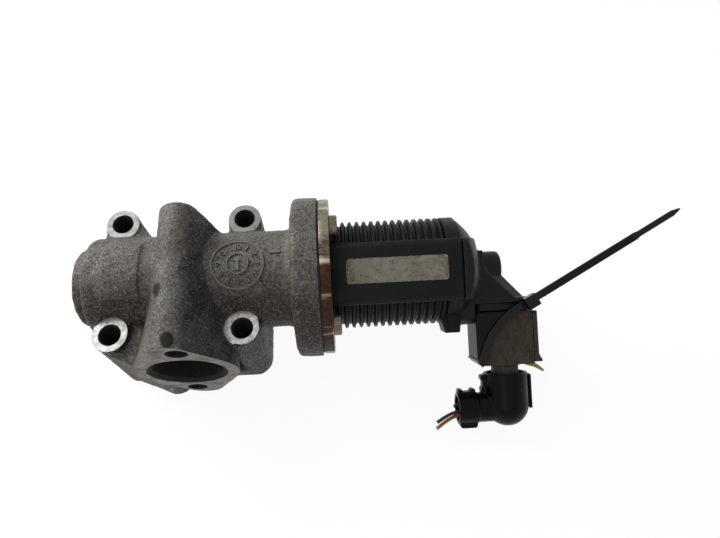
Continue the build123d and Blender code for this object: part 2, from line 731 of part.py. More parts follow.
with BuildPart() as end_cover:
    # domed cap on a spigot
    with BuildSketch(STEM):
        with BuildLine():
            Polyline(
                (DOME_X, 0),
                (COVER_X - COVER_SPIGOT_L, 0),
                (COVER_X - COVER_SPIGOT_L, SHELL_BORE_R - SEATED_GAP),
                (COVER_X, SHELL_BORE_R - SEATED_GAP),
                (COVER_X, CREST_R - CAP_STEP),
            )
            RadiusArc((COVER_X, CREST_R - CAP_STEP), (DOME_X, 0), DOME_R)
        make_face()
    revolve(axis=STEM_AXIS)
    # squarer shoulder on the connector's side
    with BuildSketch(station(COVER_X, ARM)):
        with BuildLine():
            shoulder_half = CREST_R / 2
            Polyline(
                (-CREST_R + 2, -shoulder_half),
                (0, -shoulder_half),
                (0, shoulder_half),
                (-CREST_R + 2, shoulder_half),
            )
            ThreePointArc((-CREST_R + 2, shoulder_half), (-SHOULDER_REACH, 0), (-CREST_R + 2, -shoulder_half))
        make_face()
    extrude(amount=CONN_X0 - FREE_GAP - COVER_X, taper=3)
    add(pad_end.part)
    # sensor boss on the stem axis
    with BuildSketch(station(DOME_X - 6)):
        Circle(BOSS_R)
    extrude(amount=BOSS_END_X - DOME_X + 6)
    fillet(rims(end_cover, BOSS_END_X, BOSS_R), radius=2.0)
    # arm: a full web, and a cheek in front of it with a wide sloping edge
    arm_root = (DOME_X - 5, -ARM_END)
    web_outline = (
        arm_root,
        (arm_root[0], WEB_TOP),
        (DOME_X, WEB_TOP),
        (WEB_END_X, 1 - ARM_END),
        (WEB_END_X, -ARM_END),
    )
    cheek_outline = (
        arm_root,
        (arm_root[0], CHEEK_TOP),
        (DOME_X - 2, CHEEK_TOP),
        (CHEEK_END_X, 1 - ARM_END),
        (CHEEK_END_X, -ARM_END),
    )
    with BuildSketch(ARM.offset(CONN_BACK + 1.2)):
        Polygon(*web_outline, align=None)
    extrude(amount=CHEEK_FOOT - CONN_BACK - 1.2)
    with BuildSketch(ARM.offset(CHEEK_FOOT)):
        Polygon(*web_outline, align=None)
    with BuildSketch(ARM.offset(CONN_FRONT)):
        Polygon(*cheek_outline, align=None)
    loft(ruled=True)
    # plate at the end of the arm, collar, and the shroud round the pins
    with BuildSketch(down_arm(ARM_END - 2.0)):
        with Locations(CONN_SPOT):
            Rectangle(CONN_W - 0.6, CONN_T)
    extrude(amount=2.0)
    with BuildSketch(down_arm(ARM_END)):
        with Locations(CONN_SPOT):
            RectangleRounded(SOCKET_W, SOCKET_T, 2.0)
    extrude(amount=SHROUD_END - ARM_END)
    with BuildSketch(down_arm(ARM_END)):
        with Locations((CONN_X0 + KEY_X, CONN_MID_Z + SOCKET_T / 2)):
            Rectangle(KEY_W, 2.0)
    extrude(amount=COLLAR_END - ARM_END - SEATED_GAP)
    with BuildSketch(down_arm(ARM_END + 2.0)):
        with Locations(CONN_SPOT):
            RectangleRounded(SOCKET_W - 2 * SHROUD_WALL, SOCKET_T - 2 * SHROUD_WALL, 1.0)
    extrude(amount=SHROUD_END, mode=Mode.SUBTRACT)
    # seat of the pins, and the sensor's bore
    with BuildSketch(down_arm(PIN_TOP)):
        with Locations(*[(x, CONN_MID_Z) for x in PIN_XS]):
            Rectangle(PIN_W + 2 * SEATED_GAP, PIN_T + 2 * SEATED_GAP)
    extrude(amount=ARM_END, mode=Mode.SUBTRACT)
    with BuildSketch(station(COVER_X - COVER_SPIGOT_L)):
        Circle(CARRIER_R + SEATED_GAP)
    extrude(amount=SENSOR_END_X + SEATED_GAP - COVER_X + COVER_SPIGOT_L, mode=Mode.SUBTRACT)
finish(end_cover, "end_cover")

with BuildPart() as connector_pins:
    with BuildSketch(down_arm(PIN_TOP + SEATED_GAP)):
        with Locations(*[(x, CONN_MID_Z) for x in PIN_XS]):
            Rectangle(PIN_W, PIN_T)
    extrude(amount=PIN_END - PIN_TOP)
finish(connector_pins, "connector_pins")

# ================================================================ position sensor
CARRIER_X = COVER_X - COVER_SPIGOT_L + 0.5
PLUNGER_X = ARMATURE_X + ARMATURE_L + PLUNGER_GAP
PLUNGER_END_X = PLUNGER_X + PLUNGER_L
TRACK_W = 2.2
TRACK_T = 0.8

with BuildPart() as sensor_carrier:
    turned(
        (CARRIER_X, PLUNGER_R + RUNNING_GAP),
        (CARRIER_X, CARRIER_R),
        (SENSOR_END_X, CARRIER_R),
        (SENSOR_END_X, 0),
        (SENSOR_END_X - 1.5, 0),
        (SENSOR_END_X - 1.5, PLUNGER_R + RUNNING_GAP),
    )
    with BuildSketch(station(CARRIER_X, ARM)):
        with Locations((0, PLUNGER_R + 1.1)):
            Rectangle(TRACK_W + 2 * SEATED_GAP, TRACK_T + 2 * SEATED_GAP)
    extrude(amount=SENSOR_END_X - CARRIER_X - 3, mode=Mode.SUBTRACT)
finish(sensor_carrier, "sensor_carrier")

with BuildPart() as sensor_track:
    with BuildSketch(station(CARRIER_X + 1, ARM)):
        with Locations((0, PLUNGER_R + 1.1)):
            Rectangle(TRACK_W, TRACK_T)
    extrude(amount=SENSOR_END_X - CARRIER_X - 4 - SEATED_GAP)
finish(sensor_track, "sensor_track")

with BuildPart() as sensor_plunger:
    turned(
        (PLUNGER_X, 0),
        (PLUNGER_X, PLUNGER_R - 1),
        (PLUNGER_X + 1, PLUNGER_R),
        (PLUNGER_END_X, PLUNGER_R),
        (PLUNGER_END_X, 0),
    )
finish(sensor_plunger, "sensor_plunger")

with BuildPart() as sensor_spring:
    with BuildLine() as fine_coil:
        fine_start = PLUNGER_END_X + SENSOR_SPRING_WIRE_D / 2 + SEATED_GAP
        fine_end = SENSOR_END_X - 1.5 - SENSOR_SPRING_WIRE_D / 2 - SEATED_GAP
        Helix(
            pitch=(fine_end - fine_start) / SENSOR_SPRING_TURNS,
            height=fine_end - fine_start,
            radius=SENSOR_SPRING_R,
            center=STEM.from_local_coords((fine_start, 0, 0)),
            direction=STEM.x_dir,
        )
    with BuildSketch(Plane(origin=fine_coil.line @ 0, z_dir=fine_coil.line % 0)):
        RegularPolygon(SENSOR_SPRING_WIRE_D / 2, WIRE_FLATS)
    sweep(path=fine_coil.line, is_frenet=True)
finish(sensor_spring, "sensor_spring")

# ================================================================ mating plug
with BuildPart() as plug_housing:
    with BuildSketch(down_arm(COLLAR_END)):
        with Locations(CONN_SPOT):
            RectangleRounded(CONN_W, CONN_T, 0.8)
    extrude(amount=PLUG_END - COLLAR_END)
    with BuildSketch(ARM.offset(CONN_BACK)):
        Polygon(
            (CONN_X0, -PLUG_END),
            (CONN_X0, PLUG_CORNER - PLUG_END),
            (CONN_X0 + PLUG_CORNER, -PLUG_END),
            align=None,
        )
    extrude(amount=CONN_T, mode=Mode.SUBTRACT)
    with BuildSketch(down_arm(COLLAR_END)):
        with Locations(CONN_SPOT):
            RectangleRounded(SOCKET_W + 0.2, SOCKET_T + 0.2, 2.1)
    extrude(amount=SHROUD_END - COLLAR_END + 0.1, mode=Mode.SUBTRACT)
    with BuildSketch(down_arm(COLLAR_END)):
        with Locations((CONN_X1 - 1.6, CONN_FRONT)):
            Rectangle(0.8, 1.2)
    extrude(amount=PLUG_END - COLLAR_END, mode=Mode.SUBTRACT)
finish(plug_housing, "plug_housing")

with BuildPart() as plug_carrier:
    with BuildSketch(down_arm(ARM_END + 4.0)):
        with Locations(CONN_SPOT):
            RectangleRounded(SOCKET_W - 2 * SHROUD_WALL - 0.2, SOCKET_T - 2 * SHROUD_WALL - 0.2, 0.9)
        with Locations(*[(x, CONN_MID_Z) for x in PIN_XS]):
            Rectangle(PIN_W + 0.3, PIN_T + 0.3, mode=Mode.SUBTRACT)
    extrude(amount=SHROUD_END + 0.1 - ARM_END - 4.0)
finish(plug_carrier, "plug_carrier")

with BuildPart() as plug_rail:
    with BuildSketch(ARM.offset(CONN_MID_Z - 3)):
        with BuildLine():
            rail_x0 = CONN_X1 + SEATED_GAP
            rail_x1 = CONN_X1 + RAIL_W
            Polyline(
                (rail_x0, -COLLAR_END - 0.3),
                (rail_x1, -COLLAR_END - 0.3),
                (rail_x1, -PLUG_END + 4.2),
                (rail_x1 + 1.4, -PLUG_END + 1.6),
                (rail_x1 + 1.4, -PLUG_END + 0.8),
                (rail_x0, -PLUG_END + 0.8),
                close=True,
            )
        make_face()
    extrude(amount=CONN_FRONT - CONN_MID_Z + 3 - 0.4)
finish(plug_rail, "plug_rail")

with BuildPart() as lock_spring:
    with BuildSketch(ARM.offset(1.5)):
        with BuildLine():
            Polyline(
                (CONN_X1 - 3.0, -PLUG_END - SEATED_GAP),
                (CONN_X1 + 0.4, -PLUG_END - SEATED_GAP),
                (CONN_X1 + 1.8, -PLUG_END - 0.7),
                (CONN_X1 + 5.0, -PLUG_END - 3.5),
                (CONN_X1 + 4.3, -PLUG_END - 4.3),
                (CONN_X1 + 1.0, -PLUG_END - 2.2),
                (CONN_X1 - 3.0, -PLUG_END - 1.0),
                close=True,
            )
        make_face()
    extrude(amount=5.0)
finish(lock_spring, "lock_spring")

with BuildPart() as plug_neck:
    with BuildSketch(down_arm(PLUG_END + SEATED_GAP)):
        with Locations((CONN_MID_X, CONN_MID_Z)):
            Circle(NECK_R)
    extrude(amount=NECK_END - PLUG_END - SEATED_GAP)
    with BuildSketch(down_arm(PLUG_END + SEATED_GAP)):
        with Locations((CONN_MID_X, CONN_MID_Z)):
            Circle(NECK_R + 0.6)
    extrude(amount=1.1)
finish(plug_neck, "plug_neck")

# ================================================================ elbow over the wires
SLEEVE_AXIS_Y = -ELBOW_TURN


def sleeve_station(x):
    """Plane across the elbow's sleeve at x, facing its mouth. Its middle is the sleeve's axis."""
    return Plane(
        ARM.from_local_coords((x, SLEEVE_AXIS_Y, CONN_MID_Z)), x_dir=-ARM.y_dir, z_dir=-ARM.x_dir
    )


with BuildPart() as elbow_cover:
    ball = ARM.from_local_coords((CONN_MID_X, -ELBOW_TURN + 1.0, CONN_MID_Z))
    with BuildSketch(down_arm(ELBOW_MOUTH)):
        with Locations((CONN_MID_X, CONN_MID_Z)):
            Circle(ELBOW_R)
    extrude(amount=ELBOW_TURN - 1.0 - ELBOW_MOUTH)
    with Locations(ball):
        Sphere(ELBOW_R)
    with BuildSketch(sleeve_station(CONN_MID_X)):
        Circle(SLEEVE_R)
    extrude(amount=CONN_MID_X - SLEEVE_X)
    # clip band at the sleeve's mouth, with lugs above and a catch box below
    with BuildSketch(sleeve_station(SLEEVE_X + 9.0)):
        Circle(SLEEVE_R + 0.45)
    extrude(amount=9.0)
    with BuildSketch(ARM.offset(CONN_MID_Z - 2.4)):
        with Locations((SLEEVE_X + 4.3, SLEEVE_AXIS_Y + SLEEVE_R + 0.6)):
            with GridLocations(5.8, 0, 2, 1):
                RectangleRounded(2.4, 3.2, 0.8)
        with Locations((SLEEVE_X + 4.2, SLEEVE_AXIS_Y + SLEEVE_R)):
            Rectangle(5.0, 1.8)
        with Locations((SLEEVE_X + 4.8, SLEEVE_AXIS_Y - SLEEVE_R - 0.4)):
            RectangleRounded(8.0, 3.6, 1.2)
    extrude(amount=4.8)
    # snap lugs on the left of the upright tube
    with BuildSketch(ARM.offset(CONN_MID_Z - 2.4)):
        with Locations((CONN_MID_X - ELBOW_R - 0.6, -ELBOW_MOUTH - 4.65)):
            with GridLocations(0, 5.5, 1, 2):
                RectangleRounded(2.8, 2.6, 0.9)
        with Locations((CONN_MID_X - ELBOW_R, -ELBOW_MOUTH - 4.6)):
            Rectangle(2.4, 5.0)
    extrude(amount=4.8)
    # hollow
    with BuildSketch(down_arm(ELBOW_MOUTH)):
        with Locations((CONN_MID_X, CONN_MID_Z)):
            Circle(ELBOW_R - ELBOW_WALL)
    extrude(amount=ELBOW_TURN - 1.0 - ELBOW_MOUTH, mode=Mode.SUBTRACT)
    with Locations(ball):
        Sphere(ELBOW_R - ELBOW_WALL, mode=Mode.SUBTRACT)
    with BuildSketch(sleeve_station(CONN_MID_X)):
        Circle(SLEEVE_R - SLEEVE_WALL)
    extrude(amount=CONN_MID_X - SLEEVE_X, mode=Mode.SUBTRACT)
    # lip that grips the neck
    with BuildSketch(down_arm(NECK_END - GRIP_T)):
        with Locations((CONN_MID_X, CONN_MID_Z)):
            Circle(ELBOW_R - ELBOW_WALL / 2)
            Circle(NECK_R + SEATED_GAP, mode=Mode.SUBTRACT)
    extrude(amount=GRIP_T)
    # round dimple on the sleeve
    with BuildSketch(ARM.offset(CONN_MID_Z + SLEEVE_R)):
        with Locations((SLEEVE_X + 5.1, SLEEVE_AXIS_Y - 1.0)):
            Circle(2.25)
    extrude(amount=-0.6, mode=Mode.SUBTRACT)
finish(elbow_cover, "elbow_cover")

with BuildPart() as elbow_lock_strip:
    with BuildSketch(down_arm(ELBOW_MOUTH + 1.2)):
        with Locations((CONN_MID_X + ELBOW_R + SEATED_GAP + STRIP_T / 2, CONN_MID_Z)):
            Rectangle(STRIP_T, 5.0)
    extrude(amount=15.6)
finish(elbow_lock_strip, "elbow_lock_strip")

# ================================================================ cut wires
# each route is in the arm's frame: down from the neck, round the elbow and out of its sleeve
WIRE_ROUTES = {
    "wire_green": [
        (145.4, -52.0, 2.4),
        (145.4, -58.0, 2.4),
        (139.5, -64.2, 2.4),
        (130.5, -64.4, 2.5),
        (122.5, -64.7, 2.6),
        (116.6, -66.4, 2.8),
        (111.9, -69.4, 2.9),
    ],
    "wire_orange": [
        (147.6, -52.0, 0.9),
        (147.6, -59.5, 0.9),
        (140.6, -66.4, 0.9),
        (130.5, -66.5, 1.0),
        (122.5, -66.7, 1.3),
        (116.8, -68.7, 1.7),
        (111.7, -72.4, 2.0),
    ],
    "wire_yellow": [
        (147.2, -52.0, -1.6),
        (147.2, -59.3, -1.6),
        (140.4, -66.0, -1.6),
        (130.0, -66.1, -1.6),
        (120.2, -66.6, -1.4),
    ],
    "wire_black": [
        (144.4, -52.0, -2.4),
        (144.4, -57.2, -2.4),
        (138.2, -63.2, -2.4),
        (129.4, -63.3, -2.4),
        (120.8, -63.4, -2.2),
    ],
    "wire_brown": [
        (142.6, -52.0, 0.2),
        (142.6, -57.0, 0.2),
        (137.0, -62.2, 0.2),
        (129.2, -62.1, 0.2),
        (121.0, -62.0, 0.3),
    ],
}


def corner_radii(points):
    """The largest arc that each corner's two runs allow."""
    radii = []
    for before, here, after in zip(points, points[1:], points[2:]):
        turn = (here - before).get_angle(after - here)
        run = min((here - before).length, (after - here).length)
        radii.append(0.45 * run / tan(radians(turn / 2)))
    return radii


for wire_name, route_points in WIRE_ROUTES.items():
    points = [ARM.from_local_coords(point) for point in route_points]
    radii = corner_radii(points)
    with BuildPart() as wire:
        with BuildLine() as route:
            FilletPolyline(*points, radius=radii)
        with BuildSketch(Plane(origin=route.line @ 0, z_dir=route.line % 0)):
            Circle(WIRE_D / 2)
        sweep(path=route.line)
    length = route.wire().length
    tube_volume = length * pi * WIRE_D**2 / 4
    print(wire_name, "length", round(length, 1), "corner radii", [round(radius, 1) for radius in radii])
    print(wire_name, "volume over section times length", round(wire.part.volume / tube_volume, 4))
    finish(wire, wire_name)

# ================================================================ cable tie round the arm and the plug
TIE_FRONT = CONN_FRONT + SEATED_GAP
TIE_BACK = CONN_BACK - SEATED_GAP
TIE_TOP_X = CONN_X1 - 0.3 + SEATED_GAP
TIE_TOP_Y = 0.3 - ARM_END
TIE_SLOT_Z = TIE_FRONT + TIE_T + 1.4
TIE_TOP = (TIE_TOP_X + TIE_T, TIE_TOP_Y)
TIE_CORNER = Vector(CONN_X0 + PLUG_CORNER / 2, -PLUG_END + PLUG_CORNER / 2)
CORNER_OUT = Vector(-1, -1).normalized()
TIE_BOTTOM = TIE_CORNER + CORNER_OUT * (TIE_T + SEATED_GAP)
TIE_BOW = (CONN_X0 + 10.6, -25.4)  # the front strap bows away from the straight line
CORNER_PLANE = Plane(
    ARM.from_local_coords((TIE_CORNER.X, TIE_CORNER.Y, TIE_BACK - TIE_T)),
    x_dir=ARM.x_dir * CORNER_OUT.X + ARM.y_dir * CORNER_OUT.Y,
    z_dir=ARM.z_dir,
)
TAIL_X_DIR = ARM.x_dir * cos(radians(TIE_TAIL_ANGLE)) + ARM.y_dir * sin(radians(TIE_TAIL_ANGLE))
TAIL_PLANE = Plane(
    ARM.from_local_coords((TIE_TOP_X - 1.0, TIE_TOP_Y + 0.4, TIE_SLOT_Z)), x_dir=TAIL_X_DIR, z_dir=ARM.z_dir
)
HEAD_PLANE = Plane(
    ARM.from_local_coords((TIE_TOP_X - 1.2, TIE_TOP_Y - 0.2, TIE_FRONT + TIE_T + SEATED_GAP)),
    x_dir=TAIL_X_DIR,
    z_dir=ARM.z_dir,
)

with BuildPart() as tie_strap:
    # across the front of the plug
    with BuildSketch(ARM.offset(TIE_FRONT)):
        with BuildLine():
            bend = TIE_CORNER - CORNER_OUT
            ThreePointArc(TIE_TOP, TIE_BOW, bend)
            Line(bend, TIE_BOTTOM)
        trace(line_width=TIE_W)
    extrude(amount=TIE_T)
    # across its back
    with BuildSketch(ARM.offset(TIE_BACK - TIE_T)):
        with BuildLine():
            Polyline(TIE_TOP, bend, TIE_BOTTOM)
        trace(line_width=TIE_W)
    extrude(amount=TIE_T)
    # round the plug's bevelled corner
    with BuildSketch(CORNER_PLANE):
        with Locations((SEATED_GAP + TIE_T / 2, 0)):
            Rectangle(TIE_T, TIE_W)
    extrude(amount=TIE_FRONT - TIE_BACK + 2 * TIE_T)
    # past the end of the arm and up into the head
    with BuildSketch(ARM.offset(TIE_BACK - TIE_T)):
        with Locations((TIE_TOP_X + TIE_T / 2, TIE_TOP_Y)):
            Rectangle(TIE_T, TIE_W)
    extrude(amount=TIE_SLOT_Z + 2 * TIE_T - TIE_BACK)
    # free tail with its narrow tip
    with BuildSketch(TAIL_PLANE):
        with BuildLine():
            Polyline(
                (0, 0),
                (0, TIE_W / 2),
                (0.7 * TIE_TAIL_L, TIE_W / 2),
                (0.72 * TIE_TAIL_L, 0.4 * TIE_W),
                (TIE_TAIL_L - 4, 0.4 * TIE_W),
                (TIE_TAIL_L, 0.1 * TIE_W),
                (TIE_TAIL_L, 0),
            )
            mirror(about=Plane.XZ)
        make_face()
    extrude(amount=TIE_T)
finish(tie_strap, "tie_strap")

with BuildPart() as tie_head:
    with BuildSketch(HEAD_PLANE):
        Rectangle(TIE_HEAD_L, TIE_HEAD_W)
    extrude(amount=TIE_HEAD_H)
    add(tie_strap.part, mode=Mode.SUBTRACT)
finish(tie_head, "tie_head")
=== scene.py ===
"""Dressed model of a solenoid-driven exhaust gas recirculation valve, laid out as an add-on.

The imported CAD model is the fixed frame. Each operator below makes one piece or one group of like
pieces round it, at the size and place that the frame gives. Local sizes are written in millimetres
and every object ends up in metres.
"""

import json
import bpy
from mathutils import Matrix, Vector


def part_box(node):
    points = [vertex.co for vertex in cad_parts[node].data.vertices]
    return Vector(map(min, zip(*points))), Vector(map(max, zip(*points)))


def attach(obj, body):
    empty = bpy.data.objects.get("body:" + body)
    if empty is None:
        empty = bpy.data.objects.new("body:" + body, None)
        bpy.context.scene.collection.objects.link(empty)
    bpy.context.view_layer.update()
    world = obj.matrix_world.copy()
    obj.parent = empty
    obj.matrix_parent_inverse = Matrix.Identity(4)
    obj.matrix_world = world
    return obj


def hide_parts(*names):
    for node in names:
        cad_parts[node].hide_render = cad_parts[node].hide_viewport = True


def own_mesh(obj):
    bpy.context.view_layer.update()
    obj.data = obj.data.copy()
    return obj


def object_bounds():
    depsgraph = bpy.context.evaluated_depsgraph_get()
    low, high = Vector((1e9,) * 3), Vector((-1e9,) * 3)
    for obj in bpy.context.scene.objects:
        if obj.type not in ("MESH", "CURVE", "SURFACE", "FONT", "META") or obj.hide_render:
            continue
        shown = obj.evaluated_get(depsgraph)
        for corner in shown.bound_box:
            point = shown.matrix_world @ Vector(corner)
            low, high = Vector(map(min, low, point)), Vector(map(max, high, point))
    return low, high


bl_info = {
    "name": "EGR Valve",
    "version": (1, 0, 0),
    "blender": (4, 5, 0),
    "location": "View3D > Sidebar > EGR Valve",
    "description": "Casting, solenoid, connector, wires and cable tie of an exhaust gas valve",
    "category": "Add Mesh",
}

from math import cos, pi, radians, sin

import bmesh
import bpy
from bpy.props import FloatProperty, FloatVectorProperty, IntProperty, PointerProperty
from bpy.types import Operator, Panel, PropertyGroup
from mathutils import Matrix, Vector, geometry, noise

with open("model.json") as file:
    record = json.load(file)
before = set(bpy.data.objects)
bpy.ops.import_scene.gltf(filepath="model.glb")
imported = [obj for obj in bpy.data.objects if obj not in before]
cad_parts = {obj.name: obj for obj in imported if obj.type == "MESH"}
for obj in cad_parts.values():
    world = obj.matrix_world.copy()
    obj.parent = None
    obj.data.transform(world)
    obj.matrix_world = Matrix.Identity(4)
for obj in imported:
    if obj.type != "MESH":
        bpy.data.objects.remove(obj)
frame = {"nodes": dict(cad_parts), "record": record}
CAD_BOX = [list(corner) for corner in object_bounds()]
NODES = frame["nodes"]
MOUNTS = {mount["name"]: mount for mount in frame["record"]["mounts"]}

# ---------------------------------------------------------------- places, from the frame
MM = 0.001


def box_mm(node):
    """A node's lowest and highest corners in millimetres."""
    low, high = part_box(node)
    return low / MM, high / MM


def ends_mm(node):
    """A node's lowest and highest X in millimetres."""
    low, high = box_mm(node)
    return low.x, high.x


def half_width_mm(node):
    """Half of a node's width along Y in millimetres, which is a round node's radius."""
    low, high = box_mm(node)
    return (high.y - low.y) / 2


STEM_Y = MOUNTS["outlet_port"]["pos_m"][1] / MM
STEM_Z = MOUNTS["inlet_port"]["pos_m"][2] / MM
CLOCK = radians(24.0)

WORLD = Matrix.Scale(MM, 4)
STEM = WORLD @ Matrix.Translation((0, STEM_Y, STEM_Z))
ARM = STEM @ Matrix.Rotation(CLOCK, 4, "X")

# faces of the casting
PLATE_FACE_X, _ = ends_mm("flange_gasket")
PLATE_X0, PLATE_X1 = ends_mm("mounting_plate")
PLATE_R = half_width_mm("mounting_plate")
NOSE_X, _ = ends_mm("housing")
BOLTS = MOUNTS["mounting_bolts"]["dims"]
BOLT_X, BOLT_Y = BOLTS["spacing_x_mm"] / 2, BOLTS["spacing_y_mm"] / 2
BOLT_R = BOLTS["hole_r_mm"]
BOSS_SPOTS = [(x, y) for x in (-BOLT_X, BOLT_X) for y in (-BOLT_Y, BOLT_Y)]
PORT_R = MOUNTS["inlet_port"]["dims"]["r_mm"]
PORT_FACE_Y = MOUNTS["inlet_bolts"]["pos_m"][1] / MM
PORT_X = MOUNTS["inlet_port"]["pos_m"][0] / MM
PORT_PCD = MOUNTS["inlet_bolts"]["dims"]["pcd_mm"]
PORT_HOLE_R = MOUNTS["inlet_bolts"]["dims"]["hole_r_mm"]
OUTLET_X = MOUNTS["outlet_port"]["pos_m"][0] / MM
OUTLET_R = MOUNTS["outlet_port"]["dims"]["r_mm"]
PORT_CLOCK = 3.6  # degrees
SCREW_HEAD_R = 4.75
SCREW_TURNS = [radians(45.0 + 90.0 * quarter) for quarter in range(4)]
# the screws' furthest reach along Y gives the radius of their circle
SCREW_CIRCLE_R = (half_width_mm("plate_screws") - SCREW_HEAD_R) / cos(SCREW_TURNS[0] - CLOCK)
LABEL_X0, LABEL_X1 = ends_mm("label")
LABEL_MID_X = (LABEL_X0 + LABEL_X1) / 2
# the tie's front strap follows an arc in the arm's frame
TIE_MIDDLE, TIE_ARC_R = (165.8, -48.2), 33.6

# local Z of this place runs out of the inlet, X to the right and Y up
PORT = WORLD @ Matrix.Translation((PORT_X, PORT_FACE_Y, STEM_Z)) @ Matrix.Rotation(pi / 2, 4, "X")
# turns a drawing on XY to lie across X, with its own X along Y and its own Y along Z
ACROSS = Matrix(((0, 0, 1, 0), (1, 0, 0, 0), (0, 1, 0, 0), (0, 0, 0, 1)))


# ---------------------------------------------------------------- mesh helpers
def new_piece(name, mesh):
    """A new object that holds a mesh, at the origin."""
    mesh.name = name
    piece = bpy.data.objects.new(name, mesh)
    bpy.context.scene.collection.objects.link(piece)
    return piece


def solid(name, points, faces, place, slot=0):
    """A closed mesh from points in a local place, with its faces turned outwards."""
    mesh = bpy.data.meshes.new(name)
    mesh.from_pydata([place @ Vector(point) for point in points], [], faces)
    shape = bmesh.new()
    shape.from_mesh(mesh)
    bmesh.ops.recalc_face_normals(shape, faces=shape.faces)
    for face in shape.faces:
        face.material_index = slot
    shape.to_mesh(mesh)
    shape.free()
    return new_piece(name, mesh)


def arc(x, y, radius, start, end, steps=12):
    """Points along an arc, with its angles in degrees."""
    turns = [radians(start + (end - start) * step / steps) for step in range(steps + 1)]
    return [(x + radius * cos(turn), y + radius * sin(turn)) for turn in turns]


def circle(radius, x=0.0, y=0.0, steps=48):
    """Points round a circle."""
    return arc(x, y, radius, 0, 360 * (steps - 1) / steps, steps - 1)


def rounded_box(width, height, radius, x=0.0, y=0.0, steps=6):
    """Points round a rectangle with rounded corners."""
    across, up = width / 2 - radius, height / 2 - radius
    corners = ((across, up, 0), (-across, up, 90), (-across, -up, 180), (across, -up, 270))
    return [
        point
        for cx, cy, start in corners
        for point in arc(x + cx, y + cy, radius, start, start + 90, steps)
    ]


def hull(points):
    """The convex outline round some points."""
    return [points[index] for index in geometry.convex_hull_2d(points)]


def lathe(name, outline, place=STEM, steps=96, slot=0):
    """A closed solid turned about the local X axis from a closed outline of (x, radius)."""
    points, rings = [], []
    for x, radius in outline:
        count = 1 if radius < 1e-6 else steps
        rings.append([len(points) + step for step in range(count)])
        points += [
            (x, radius * cos(2 * pi * step / steps), radius * sin(2 * pi * step / steps))
            for step in range(count)
        ]
    faces = []
    for ring, after in zip(rings, rings[1:] + rings[:1]):
        if len(ring) == 1 and len(after) == 1:
            continue
        for step in range(steps):
            corners = (
                ring[step % len(ring)],
                ring[(step + 1) % len(ring)],
                after[(step + 1) % len(after)],
                after[step % len(after)],
            )
            faces.append(list(dict.fromkeys(corners)))
    return solid(name, points, faces, place, slot)


def turned(name, start, *stages, place=STEM, steps=96, slot=0):
    """A stepped cylinder along local X. Each stage is its radius and where it ends."""
    outline = [(start, 0)]
    for radius, end in stages:
        outline += [(outline[-1][0], radius), (end, radius)]
    return lathe(name, [*outline, (outline[-1][0], 0)], place, steps, slot)


def skin_faces(count, rows=2):
    """Faces round rows of as many points each: the two caps and the walls between the rows."""
    last = count * (rows - 1)
    faces = [list(range(count))[::-1], list(range(last, last + count))]
    for start in range(0, last, count):
        faces += [
            (start + i, start + (i + 1) % count, start + count + (i + 1) % count, start + count + i)
            for i in range(count)
        ]
    return faces


def loft(name, sections, place=WORLD, slot=0):
    """A closed solid through outlines at heights along local Z, all with the same count of points."""
    points = [(x, y, height) for height, outline in sections for x, y in outline]
    return solid(name, points, skin_faces(len(sections[0][1]), len(sections)), place, slot)


def prism(name, outline, low, high, place=WORLD, slot=0):
    """A closed outline raised along local Z."""
    return loft(name, [(low, outline), (high, outline)], place, slot)


def settle(piece):
    """Turn a piece's modifiers into its plain mesh."""
    depsgraph = bpy.context.evaluated_depsgraph_get()
    mesh = bpy.data.meshes.new_from_object(piece.evaluated_get(depsgraph), depsgraph=depsgraph)
    worn = piece.data
    piece.modifiers.clear()
    piece.data = mesh
    mesh.name = piece.name
    bpy.data.meshes.remove(worn)
    return piece


def modify(piece, kind, **settings):
    """Add one modifier, set it and settle it."""
    modifier = piece.modifiers.new(kind.title(), kind)
    for setting, value in settings.items():
        setattr(modifier, setting, value)
    return settle(piece)


def discard(piece):
    """Delete a helper object with its mesh."""
    mesh = piece.data
    bpy.data.objects.remove(piece)
    bpy.data.meshes.remove(mesh)


def combine(piece, cutter, operation="DIFFERENCE"):
    """Cut a piece with a solid, or add the solid to it."""
    modify(piece, "BOOLEAN", operation=operation, object=cutter, solver="MANIFOLD")
    discard(cutter)
    return piece


def joined(name, pieces):
    """One object from several, whose meshes may overlap."""
    shape = bmesh.new()
    for piece in pieces:
        shape.from_mesh(piece.data)
        discard(piece)
    mesh = bpy.data.meshes.new(name)
    shape.to_mesh(mesh)
    shape.free()
    return new_piece(name, mesh)


def cad_copy(name, node):
    """A copy of a CAD node's mesh with its loose triangles merged."""
    shape = bmesh.new()
    shape.from_mesh(NODES[node].data)
    bmesh.ops.remove_doubles(shape, verts=shape.verts, dist=0.002 * MM)
    bmesh.ops.dissolve_degenerate(shape, edges=shape.edges, dist=0.001 * MM)
    mesh = bpy.data.meshes.new(name)
    shape.to_mesh(mesh)
    shape.free()
    return new_piece(name, mesh)


def softened(piece, voxel, passes, adaptivity=0.0):
    """Rebuild a solid from small cells and relax it, which rounds its edges."""
    modify(piece, "REMESH", mode="VOXEL", voxel_size=voxel * MM, adaptivity=adaptivity * MM)
    if passes:
        modify(piece, "SMOOTH", factor=0.5, iterations=passes)
    return piece


def roughened(piece, layers):
    """Push a mesh in and out by noise. Layers are (size, height) in millimetres."""
    mesh = piece.data
    normals = [corner.vector.copy() for corner in mesh.vertex_normals]
    for vertex, normal in zip(mesh.vertices, normals):
        height = sum(rise * noise.noise(vertex.co / (size * MM)) for size, rise in layers)
        vertex.co += normal * height * MM
    mesh.update()
    return piece


